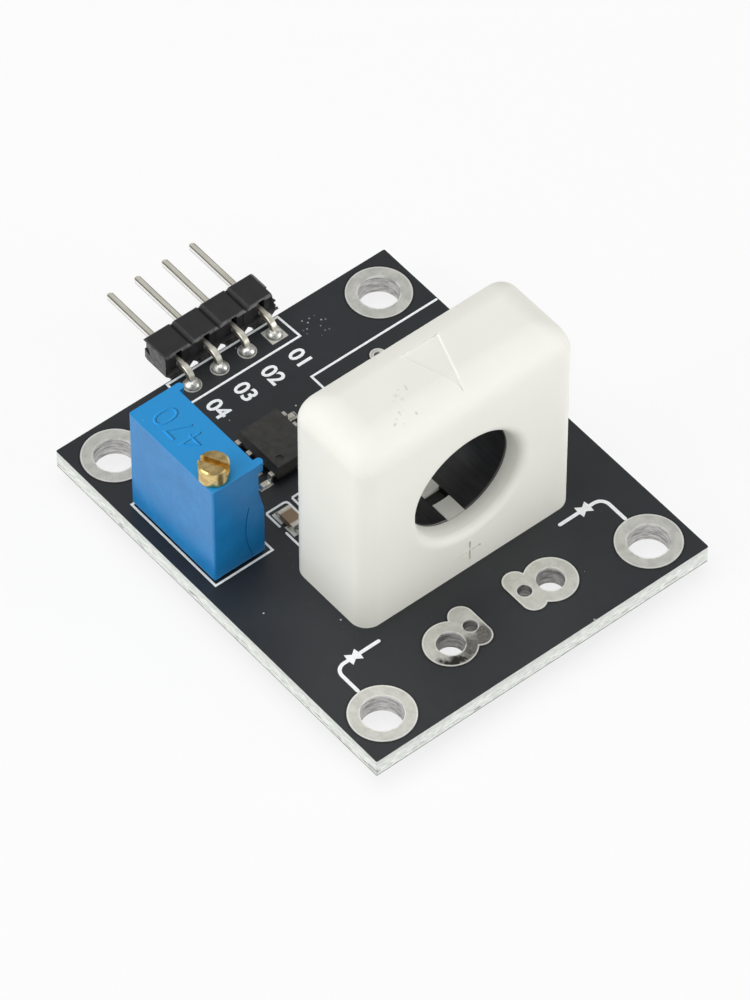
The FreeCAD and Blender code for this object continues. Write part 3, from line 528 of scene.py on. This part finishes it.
def fillet_finish():
    """Bright solder fillets of the surface parts, with soft dents."""
    finish = Finish("solder_fillets", roughness=0.26, metallic=0.95)
    dents = finish.noise(2.2, detail=2.0)
    finish.colour(finish.mix(finish.ramp(dents, 0.42, 0.56), srgb(116, 113, 108), srgb(238, 238, 234)))
    finish.bump(dents, 0.5, 0.12)
    return finish.material


def pin_finish():
    """Tinned pins, drawn along their length."""
    finish = Finish("tinned_pins", roughness=0.24, metallic=0.85)
    drawn = finish.noise(1.6, detail=2.0, place=finish.stretched(1, 0.12, 1))
    finish.colour(finish.mix(finish.ramp(drawn, 0.3, 0.7), srgb(222, 218, 206), srgb(240, 237, 228)))
    finish.rough(finish.ramp(drawn, 0.3, 0.7, 0.2, 0.28))
    return finish.material


def header_pin_finish():
    """Tinned square wire: brushed faces, painted reflections on its sides, near white and grey at their
    foot, painted shade on the sides from about the moulding on, and dark painted reflections on the broken
    edges.
    """
    finish = Finish("header_pin_tin", roughness=0.34, metallic=0.5)
    low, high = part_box("header_pin_1")
    half = (high.x - low.x) / 2
    pitch = low.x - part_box("header_pin_2")[0].x
    across, along, height = (finish.part_of_place(axis) for axis in "XYZ")
    drawn = finish.noise(3.0, detail=3.0, place=finish.stretched(1, 0.1, 0.6))
    tin = finish.mix(finish.ramp(drawn, 0.3, 0.7), srgb(206, 202, 188), srgb(226, 223, 211))
    shifted = finish.math("SUBTRACT", across, low.x + half)
    aside = finish.math("ABSOLUTE", finish.math("WRAP", shifted, pitch / 2, -pitch / 2))
    # Painted reflection and painted shade on the pin's side faces: near white, grey at their foot, and dark
    # from about where the pin enters the moulding.
    painted_light_sides = finish.ramp(aside, half - 0.010 * MM, half - 0.004 * MM)
    foot = finish.ramp(height, high.z - 2 * half + 0.10 * MM, high.z - 2 * half + 0.16 * MM, 1.0, 0.0)
    beyond = finish.ramp(along, low.y + 1.5 * MM, low.y + 1.6 * MM)
    side = finish.mix(foot, srgb(242, 242, 238), srgb(172, 172, 168))
    tin = finish.mix(painted_light_sides, tin, finish.mix(beyond, srgb(112, 106, 93), side))
    straight = finish.ramp(along, low.y + 1.0 * MM, low.y + 1.2 * MM)
    upright = finish.math("ABSOLUTE", finish.math("SUBTRACT", height, high.z - half))
    # Painted reflection: dark lines along the broken edges of the straight part.
    broken = [finish.ramp(part, half - inset * MM, half - (inset - 0.01) * MM)
              for part, inset in ((aside, 0.09), (upright, 0.06))]
    finish.colour(finish.mix(finish.faded(0.9, straight, *broken), tin, srgb(84, 80, 72)))
    finish.rough(finish.ramp(drawn, 0.3, 0.7, 0.28, 0.4))
    return finish.material


def sensor_finish():
    """Warm white moulding with a fine grain, handling marks and a painted highlight along the triangle's
    lines.
    """
    finish = Finish("sensor_moulding", roughness=0.55)
    cloud = finish.noise(0.12, detail=3.0)
    white = finish.mix(cloud, srgb(236, 235, 226), srgb(243, 243, 235))
    streak = finish.ramp(finish.noise(2.4, detail=4.0, roughness=0.65), 0.56, 0.64)
    for x, y, radius in MARKS:
        mark = finish.near(x, y, MARK_HEIGHT, radius, MARK_SOFT)
        white = finish.mix(finish.faded(0.4, mark, streak), white, srgb(128, 124, 118))
    low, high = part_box("sensor_housing")
    aside = finish.math("SUBTRACT", finish.part_of_place("X"), (low.x + high.x) / 2)
    aside = finish.math("MULTIPLY", finish.math("ABSOLUTE", aside), 1 / MM)
    tip_y = high.y / MM - TRIANGLE_BACK - TRIANGLE_LONG
    above = finish.math("MULTIPLY_ADD", finish.part_of_place("Y"), 1 / MM, -tip_y)
    slant = math.hypot(TRIANGLE_LONG, TRIANGLE_HALF)
    off_line = finish.math("SUBTRACT", finish.math("MULTIPLY", aside, TRIANGLE_LONG / slant),
                           finish.math("MULTIPLY", above, TRIANGLE_HALF / slant))
    # Painted highlight: a bright thin line along the triangle's two long sides, near the top.
    line = finish.faded(0.75, finish.band(off_line, -0.03, 0.03, 0.04),
                        finish.band(above, 0.0, TRIANGLE_LONG, 0.05),
                        finish.ramp(finish.part_of_place("Z"), high.z - 1.0 * MM, high.z - 0.8 * MM))
    white = finish.mix(line, white, srgb(252, 251, 246))
    dots = finish.specks(0.55, 0.05, 0.10)
    white = finish.mix(finish.faded(0.3, dots), white, srgb(140, 136, 128))
    finish.colour(white)
    grain = finish.noise(7.0, detail=2.0)
    finish.bump(grain, 0.12, 0.02)
    finish.rough(finish.ramp(cloud, 0.3, 0.7, 0.5, 0.6))
    return finish.material


def ferrite_finish():
    """Black ground core with faint streaks along the bore and a paler front rim, partly wear and partly a
    painted highlight.
    """
    finish = Finish("ferrite_core", roughness=0.45)
    streak = finish.noise(2.5, detail=4.0, place=finish.stretched(1, 0.15, 1))
    black = finish.mix(finish.ramp(streak, 0.4, 0.7), srgb(24, 24, 25), srgb(44, 44, 45))
    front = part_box("sensor_core")[0].y
    # Painted highlight and wear: the core's front rim is paler.
    wear_and_sheen = finish.ramp(finish.part_of_place("Y"), front + 0.09 * MM, front + 0.15 * MM, 0.75, 0.0)
    finish.colour(finish.mix(wear_and_sheen, black, srgb(128, 126, 122)))
    finish.bump(streak, 0.15, 0.03)
    return finish.material


def plastic_finish(name, low, high, roughness, grain_per_mm=5.0, grain_strength=0.2, cloud_per_mm=0.4):
    """Moulded plastic between two shades, with a grain of its own."""
    finish = Finish(name, roughness=roughness)
    cloud = finish.noise(cloud_per_mm, detail=3.0)
    finish.colour(finish.mix(finish.ramp(cloud, 0.3, 0.7), low, high))
    grain = finish.noise(grain_per_mm, detail=3.0)
    finish.bump(grain, grain_strength, 0.03)
    finish.rough(finish.ramp(grain, 0.3, 0.7, roughness - 0.05, roughness + 0.05))
    return finish.material


def blue_finish(name, shade=1.0):
    """The trimmer's blue moulding, scaled by shade, darker for painted shade and lighter for a painted
    highlight, with a painted highlight along its top.
    """
    finish = Finish(name, roughness=0.36)
    cloud = finish.noise(0.5, detail=3.0)
    blue = finish.mix(finish.ramp(cloud, 0.3, 0.7), srgb(10 * shade, 118 * shade, 184 * shade),
                      srgb(22 * shade, 131 * shade, 197 * shade))
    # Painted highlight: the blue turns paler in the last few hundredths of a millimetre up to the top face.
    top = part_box("trimmer_housing")[1].z
    wear_and_sheen = finish.ramp(finish.part_of_place("Z"), top - 0.07 * MM, top - 0.04 * MM)
    blue = finish.mix(finish.faded(0.9, wear_and_sheen), blue, srgb(32 * shade, 150 * shade, 219 * shade))
    dust = finish.specks(0.8, 0.045, 0.12)
    finish.colour(finish.mix(finish.faded(0.4, dust), blue, srgb(176, 206, 226)))
    grain = finish.noise(3.0, detail=3.0)
    finish.bump(grain, 0.18, 0.03)
    finish.rough(finish.ramp(grain, 0.3, 0.7, 0.31, 0.41))
    return finish.material


def header_finish():
    """Matt black moulding with pale dust, and painted highlights broken up by wear along its front and far
    top edges, low on its front and on its torn ends.
    """
    finish = Finish("header_moulding", roughness=0.42)
    low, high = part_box("header_housing")
    across, along, height = (finish.part_of_place(axis) for axis in "XYZ")
    cloud = finish.noise(1.2, detail=4.0)
    black = finish.mix(cloud, srgb(24, 24, 26), srgb(40, 40, 42))
    wear_and_sheen = finish.ramp(finish.noise(2.2, detail=5.0, roughness=0.7), 0.40, 0.56)
    # Painted highlight, broken up by wear: paler along the front top edge.
    front = finish.ramp(along, low.y + 0.10 * MM, low.y + 0.24 * MM, 1.0, 0.0)
    edge = finish.band(height, high.z - 0.24 * MM, high.z - 0.02 * MM, 0.03 * MM)
    black = finish.mix(finish.faded(0.6, wear_and_sheen, front, edge), black, srgb(122, 122, 120))
    # Painted highlight: a paler line along the far top edge.
    far = finish.ramp(along, high.y - 0.10 * MM, high.y - 0.02 * MM)
    black = finish.mix(finish.faded(0.5, far, edge), black, srgb(150, 150, 150))
    # Painted highlight, broken up by wear: a brownish paler band low on the front.
    foot = finish.ramp(height, low.z + 0.3 * MM, low.z + 0.7 * MM, 1.0, 0.0)
    black = finish.mix(finish.faded(0.3, wear_and_sheen, front, foot), black, srgb(120, 112, 106))
    # Painted highlight, broken up by wear: paler patches on both ends.
    torn = finish.ramp(finish.math("ABSOLUTE", across), high.x - 0.08 * MM, high.x - 0.03 * MM)
    black = finish.mix(finish.faded(0.5, wear_and_sheen, torn), black, srgb(108, 106, 102))
    dust = finish.specks(3.0, 0.08, 0.10)
    finish.colour(finish.mix(finish.faded(0.35, dust), black, srgb(150, 148, 142)))
    finish.bump(finish.noise(5.0, detail=3.0), 0.25, 0.04)
    return finish.material


def brass_finish():
    """Turned brass with brown stains in the slot and round the rim."""
    finish = Finish("turned_brass", roughness=0.27, metallic=1.0)
    stain = finish.noise(1.3, detail=4.0)
    brass = finish.mix(finish.ramp(stain, 0.35, 0.6), srgb(194, 164, 104), srgb(232, 206, 146))
    blots = finish.noise(2.6, detail=3.0)
    finish.colour(finish.mix(finish.ramp(blots, 0.60, 0.72, 0.0, 0.5), brass, srgb(124, 90, 44)))
    rings = finish.noise(6.0, detail=2.0, place=finish.stretched(1, 1, 0.15))
    finish.bump(rings, 0.2, 0.02)
    finish.rough(finish.ramp(stain, 0.3, 0.7, 0.2, 0.34))
    return finish.material


def capacitor_finish():
    """Tan ceramic with a fine grain, paler at its ends."""
    finish = Finish("capacitor_ceramic", roughness=0.5)
    cloud = finish.noise(1.5, detail=3.0)
    tan = finish.mix(cloud, srgb(128, 106, 82), srgb(152, 126, 98))
    low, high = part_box("capacitor_body_1")
    beyond = finish.math("SUBTRACT", finish.part_of_place("Y"), (low.y + high.y) / 2)
    reach = (high.y - low.y) / 2
    end = finish.ramp(finish.math("ABSOLUTE", beyond), reach - 0.10 * MM, reach - 0.04 * MM)
    finish.colour(finish.mix(finish.faded(0.8, end), tan, srgb(206, 192, 172)))
    finish.bump(finish.noise(9.0, detail=3.0), 0.15, 0.03)
    return finish.material


def print_finish():
    """The board's white print, thin at places."""
    finish = Finish("board_print", roughness=0.6)
    worn = finish.noise(3.0, detail=4.0)
    finish.colour(finish.mix(finish.ramp(worn, 0.4, 0.75), srgb(250, 253, 253), srgb(232, 239, 239)))
    return finish.material


def stage_finish(name, shade, shown):
    """A pale surface that the camera and glossy rays see near white, and that keeps soft shadows."""
    material = bpy.data.materials.new(name)
    material.use_nodes = True
    tree = material.node_tree
    tree.nodes.clear()
    output = tree.nodes.new("ShaderNodeOutputMaterial")
    paint = tree.nodes.new("ShaderNodeBsdfDiffuse")
    paint.inputs["Color"].default_value = (shade, shade, shade, 1)
    glow = tree.nodes.new("ShaderNodeEmission")
    glow.inputs["Strength"].default_value = 1.0
    path = tree.nodes.new("ShaderNodeLightPath")
    seen = tree.nodes.new("ShaderNodeMath")
    seen.operation = "MAXIMUM"
    tree.links.new(path.outputs["Is Camera Ray"], seen.inputs[0])
    tree.links.new(path.outputs["Is Glossy Ray"], seen.inputs[1])
    clear = tree.nodes.new("ShaderNodeMath")
    clear.operation = "MAXIMUM"
    tree.links.new(seen.outputs[0], clear.inputs[0])
    tree.links.new(path.outputs["Is Transmission Ray"], clear.inputs[1])
    share = tree.nodes.new("ShaderNodeMath")
    share.operation = "MULTIPLY"
    share.inputs[1].default_value = shown
    tree.links.new(clear.outputs[0], share.inputs[0])
    mixed = tree.nodes.new("ShaderNodeMixShader")
    tree.links.new(share.outputs[0], mixed.inputs[0])
    tree.links.new(paint.outputs[0], mixed.inputs[1])
    tree.links.new(glow.outputs[0], mixed.inputs[2])
    tree.links.new(mixed.outputs[0], output.inputs["Surface"])
    return material


def dress(material, *names):
    """Gives CAD nodes their finish."""
    for name in names:
        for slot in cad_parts[name].material_slots:
            slot.material = material


def numbered(stem, count):
    return ["%s_%d" % (stem, index) for index in range(1, count + 1)]


def dress_cad_nodes():
    """Gives every CAD node that stays in sight its finish."""
    land = land_finish("tin_plate")
    dress(board_finish(), "circuit_board")
    dress(land, "via_plating", "surface_pads", "sensor_pads", "trimmer_pads")
    dress(land, *numbered("mounting_hole_plating", 4), *numbered("header_pad", HEADER_PINS))
    dress(land_finish("wire_land_plate", 96, 176), "wire_pad_right")
    dress(land_finish("stained_wire_land_plate", 84, 164, stained=True), "wire_pad_left")
    dress(fillet_finish(), "surface_solder")
    dress(solder_finish(), *numbered("header_solder", HEADER_PINS), *numbered("sensor_solder", 3),
          *numbered("trimmer_solder", 3))
    dress(pin_finish(), "amplifier_leads", *numbered("trimmer_pin", 3), *numbered("sensor_lead", 3),
          *numbered("capacitor_ends", 2), "trimmer_wiper")
    dress(header_pin_finish(), *numbered("header_pin", HEADER_PINS))
    dress(sensor_finish(), "sensor_housing", "sensor_carrier")
    dress(ferrite_finish(), "sensor_core")
    dress(plastic_finish("potting_resin", srgb(20, 20, 21), srgb(34, 34, 35), 0.35), "sensor_potting")
    dress(plastic_finish("moulded_chip", srgb(43, 42, 40), srgb(58, 57, 53), 0.6, 8.0, 0.6, 2.0),
          "amplifier_body", "hall_element")
    dress(blue_finish("blue_moulding"), "trimmer_housing")
    dress(brass_finish(), "trimmer_screw")
    dress(plastic_finish("seal_rubber", srgb(120, 50, 30), srgb(140, 60, 36), 0.5), "trimmer_seal_ring")
    dress(plastic_finish("wheel_moulding", srgb(215, 214, 206), srgb(228, 227, 220), 0.45), "trimmer_wheel")
    dress(plastic_finish("fired_plate", srgb(230, 230, 225), srgb(240, 240, 236), 0.5), "trimmer_plate")
    dress(plastic_finish("track_film", srgb(28, 28, 30), srgb(42, 42, 44), 0.4), "trimmer_track")
    dress(plastic_finish("base_resin", srgb(40, 78, 130), srgb(56, 94, 146), 0.4), "trimmer_base_seal")
    dress(capacitor_finish(), *numbered("capacitor_body", 2))


# The header's moulding: what narrows its notches, the slot above each pin and the foot at the board
NOTCH_DEPTH = 0.66 * MM
FILL_HALF = 0.9 * MM
FILL_FROM_BOTTOM = 0.5 * MM
FILL_FROM_TOP = 0.15 * MM
FILL_INSET = 0.03 * MM
SLOT_PLAY = 0.03 * MM
SLOT_FROM_TOP = 0.1 * MM
FOOT_HALF = 0.86 * MM
FOOT_PLAY = 0.01 * MM
FOOT_SUNK = 0.05 * MM
FOOT_RISE = 0.1 * MM
FRONT_CHAMFER = 0.18 * MM
FAR_CHAMFER = 0.09 * MM

# Nicks and slivers where the moulding was snapped from a longer strip: low corner, high corner,
# turn in degrees and what is done with it, in millimetres
TORN_END = (
    ((4.82, 18.2, 3.3), (5.3, 19.3, 4.2), 9, "DIFFERENCE"),
    ((4.95, 18.2, 2.72), (5.3, 18.9, 3.4), 14, "DIFFERENCE"),
    ((4.85, 18.33, 2.98), (5.13, 18.7, 3.12), -20, "UNION"),
    ((4.85, 18.36, 2.42), (5.17, 18.6, 2.58), 10, "UNION"),
    ((4.85, 18.34, 1.96), (5.4, 18.54, 2.1), 25, "UNION"),
)


def edge_bar(y, z, leg, low_x, high_x, outward):
    """A bar turned 45 degrees that takes a chamfer with this leg off an edge along X."""
    half = 4 * leg
    shift = half / math.sqrt(0.5) - leg
    middle_y = y + outward * shift / 2
    middle_z = z + shift / 2
    low = (low_x, middle_y - half, middle_z - half)
    high = (high_x, middle_y + half, middle_z + half)
    return block(low, high, turn=45)


def make_header_moulding():
    """The header's moulding, with a narrow slot above each pin, worn top edges and a torn end."""
    low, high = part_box("header_housing")
    piece = merged_copy("header_housing")
    board_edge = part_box("circuit_board")[1].y
    for pin in numbered("header_pin", HEADER_PINS):
        pin_low, pin_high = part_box(pin)
        middle = (pin_low.x + pin_high.x) / 2
        half = (pin_high.x - pin_low.x) / 2 + SLOT_PLAY
        carve(piece, block((middle - FILL_HALF, low.y + FILL_INSET, low.z + FILL_FROM_BOTTOM),
                           (middle + FILL_HALF, low.y + NOTCH_DEPTH, high.z - FILL_FROM_TOP)), "UNION")
        carve(piece, block((middle - half, low.y - NOTCH_DEPTH, pin_high.z - 2 * half),
                           (middle + half, low.y + NOTCH_DEPTH, high.z - SLOT_FROM_TOP)))
        carve(piece, block((middle - FOOT_HALF, board_edge + FOOT_PLAY, BOARD_TOP - FOOT_SUNK),
                           (middle + FOOT_HALF, low.y + FILL_INSET * 3, low.z + FOOT_RISE)), "UNION")
    for torn_low, torn_high, turn, operation in TORN_END:
        carve(piece, block(Vector(torn_low) * MM, Vector(torn_high) * MM, turn), operation)
    for y, leg, outward in ((low.y, FRONT_CHAMFER, -1), (high.y, FAR_CHAMFER, 1)):
        carve(piece, edge_bar(y, high.z, leg, low.x - NOTCH_DEPTH, high.x + NOTCH_DEPTH, outward))
    settle(piece, "header_moulding", "sensor_board", header_finish())
    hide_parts("header_housing")


# Printing on the board
PRINT_THICK = 0.02 * MM
FRAME_LINE = 0.18 * MM
ARROW_LINE = 0.285 * MM
LABEL_Y = 13.9 * MM
LABEL_SIZE = 1.8 * MM
LABEL_HEAVY = 0.04 * MM

# Corners of the printed lines, in millimetres
HEADER_FRAME = ((-5.2, 18.03), (5.05, 18.03), (5.17, 15.56), (-5.2, 15.56))
TRIMMER_FRAME = ((-14.12, 1.18), (-8.95, 1.18), (-8.95, 10.8), (-14.12, 10.8))
SENSOR_LINE = ((15.1, 12.0), (3.37, 12.0), (3.37, -0.4))
CAPACITOR_SIDES = ((-7.22, -5.36), (-4.87, -3.01))
CAPACITOR_HALVES = ((2.53, 4.06, -1), (1.76, 0.23, 1))
ARROW_Y = -9.98
ARROW_START_X = 8.35
ARROW_BEND_X = 12.3
ARROW_END_Y = -12.5
ARROW_BEND_RADIUS = 0.8
ARROW_HEADS_X = 10.6
ARROW_HEADS = (
    (0.54, 0.0), (0.46, 0.54), (0.0, 0.22), (-0.46, 0.54),
    (-0.54, 0.0), (-0.46, -0.54), (0.0, -0.22), (0.46, -0.54),
)


def rounded_corner(before, corner, after, radius, steps=6):
    """Points of an arc that rounds a right-angled corner."""
    corner = Vector(corner)
    toward = (Vector(before) - corner).normalized()
    away = (Vector(after) - corner).normalized()
    centre = corner + (toward + away) * radius
    points = []
    for index in range(steps + 1):
        angle = math.pi / 2 * index / steps
        points.append(tuple(centre - away * radius * math.cos(angle) - toward * radius * math.sin(angle)))
    return points


def in_mm(points):
    return [(x * MM, y * MM) for x, y in points]


def board_frames():
    """Outlines of the frames printed round the header, the sensor, the trimmer and the capacitors."""
    loops = frame_loops(in_mm(HEADER_FRAME), FRAME_LINE)
    loops += frame_loops(in_mm(TRIMMER_FRAME), FRAME_LINE)
    loops.append(stroke(in_mm(SENSOR_LINE), FRAME_LINE))
    for left, right in CAPACITOR_SIDES:
        for near, far, toward in CAPACITOR_HALVES:
            points = [(left, near), (left, far + toward * 0.1), (left + 0.1, far), (right - 0.25, far),
                      (right - 0.07, far + toward * 0.07), (right, far + toward * 0.25), (right, near)]
            loops.append(stroke(in_mm(points), FRAME_LINE))
    return loops


def arrow_lines():
    """Outlines of the two arrows at the wire lands, each with a round bend."""
    start = (ARROW_START_X, ARROW_Y)
    corner = (ARROW_BEND_X, ARROW_Y)
    end = (ARROW_BEND_X, ARROW_END_Y)
    path = [start] + rounded_corner(start, corner, end, ARROW_BEND_RADIUS) + [end]
    mirrored = [(-x, y) for x, y in path]
    return [stroke(in_mm(side), ARROW_LINE) for side in (path, mirrored)]


def arrow_heads(side):
    """Two arrow heads whose points meet on the line, drawn as one outline."""
    x = side * ARROW_HEADS_X * MM
    y = ARROW_Y * MM
    return [(x + across * MM, y + along * MM) for across, along in ARROW_HEADS]


def print_the_board():
    """The frames, the arrows and plain numbers for the pins."""
    white = print_finish()
    frames = flat_shape(board_frames(), BOARD_TOP, PRINT_THICK)
    settle(frames, "board_print_frames", "sensor_board", white)
    arrows = flat_shape(arrow_lines(), BOARD_TOP, PRINT_THICK)
    heads = flat_shape([arrow_heads(side) for side in (1, -1)], BOARD_TOP, PRINT_THICK * 1.3)
    settle(join([arrows, heads]), "board_print_arrows", "sensor_board", white)
    labels = []
    for index, pin in enumerate(numbered("header_pin", HEADER_PINS), 1):
        low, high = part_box(pin)
        place = ((low.x + high.x) / 2, LABEL_Y, BOARD_TOP)
        labels.append(flat_text("%02d" % index, place, LABEL_SIZE, -90, PRINT_THICK, LABEL_HEAVY))
    settle(join(labels), "board_print_numbers", "sensor_board", white)


# Digits on the trimmer
DIGITS_ASIDE = 0.35 * MM
DIGITS_FROM_BACK = 3.4 * MM
DIGITS_SIZE = 3.0 * MM
DIGITS_HEAVY = -0.075 * MM

# Name, step in X and Y, thickness in millimetres and shade of each layer; the darker and the lighter layer
# paint shade and a highlight round the digits
DIGIT_LAYERS = (
    ("trimmer_digit_painted_shade", 0.075, -0.02, 0.012, 0.55),
    ("trimmer_digit_painted_highlight", -0.06, 0.03, 0.018, 1.25),
    ("trimmer_digits", 0.0, 0.0, 0.03, 1.0),
)


def mark_the_trimmer():
    """Plain digits moulded on top of the trimmer, with a painted highlight on one edge and painted shade on
    the other.
    """
    low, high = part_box("trimmer_housing")
    middle = Vector(((low.x + high.x) / 2 - DIGITS_ASIDE, high.y - DIGITS_FROM_BACK, high.z))
    for name, step_x, step_y, thick, shade in DIGIT_LAYERS:
        place = middle + Vector((step_x, step_y, 0)) * MM
        text = flat_text("470", place, DIGITS_SIZE, 90, thick * MM, DIGITS_HEAVY)
        settle(text, name, "sensor_board", blue_finish("blue_of_" + name, shade))


# Stage, in metres; a lamp has a name, a place, a width and a power in watts
FLOOR_SIZE = 6.0
FLOOR_SHADE = 0.9
FLOOR_SHOWN = 0.8
WORLD_STRENGTH = 0.36
LAMP_TARGET = Vector((0, 0, 0.006))
LAMPS = (
    ("overhead", (-0.1, 0.04, 0.7), 0.6, 2.15),
    ("left", (-0.6, 0.1, 0.28), 0.5, 2.05),
    ("front_right", (0.42, -0.62, 0.12), 0.45, 3.3),
)


def area_lamp(name, place, size, power):
    """A square lamp that faces the module."""
    lamp = bpy.data.lights.new(name, "AREA")
    lamp.shape = "SQUARE"
    lamp.size = size
    lamp.energy = power
    holder = bpy.data.objects.new(name, lamp)
    bpy.context.scene.collection.objects.link(holder)
    holder.location = place
    holder.rotation_mode = "QUATERNION"
    holder.rotation_quaternion = (LAMP_TARGET - Vector(place)).to_track_quat("-Z", "Y")


def set_the_stage():
    """A pale floor, an even world and three soft lamps."""
    deselect()
    bpy.ops.mesh.primitive_plane_add(size=FLOOR_SIZE, location=(0, 0, cad_box[0].z))
    floor = bpy.context.view_layer.objects.active
    floor.name = "floor"
    floor.data.materials.append(stage_finish("pale_floor", FLOOR_SHADE, FLOOR_SHOWN))
    world = bpy.data.worlds.new("studio")
    bpy.context.scene.world = world
    world.use_nodes = True
    sky = world.node_tree.nodes["Background"]
    sky.inputs["Color"].default_value = (1, 1, 1, 1)
    sky.inputs["Strength"].default_value = WORLD_STRENGTH
    for name, place, size, power in LAMPS:
        area_lamp(name, place, size, power)


def set_the_camera():
    """The photograph's camera, from its place, its two angles and its lens."""
    camera = bpy.data.cameras.new("camera")
    camera.sensor_width = CAMERA_SENSOR
    camera.lens = CAMERA_LENS
    camera.clip_start = 0.01
    camera.clip_end = 20
    holder = bpy.data.objects.new("camera", camera)
    bpy.context.scene.collection.objects.link(holder)
    azimuth = math.radians(CAMERA_AZIMUTH)
    elevation = math.radians(CAMERA_ELEVATION)
    back = Vector((math.sin(azimuth) * math.cos(elevation), -math.cos(azimuth) * math.cos(elevation),
                   math.sin(elevation)))
    right = Vector((math.cos(azimuth), math.sin(azimuth), 0))
    up = back.cross(right)
    holder.matrix_world = Matrix((right, up, back)).transposed().to_4x4()
    holder.location = CAMERA_PLACE
    bpy.context.scene.camera = holder
    bpy.context.scene.view_settings.view_transform = "Standard"


dress_cad_nodes()
make_header_moulding()
print_the_board()
mark_the_trimmer()
set_the_stage()
set_the_camera()
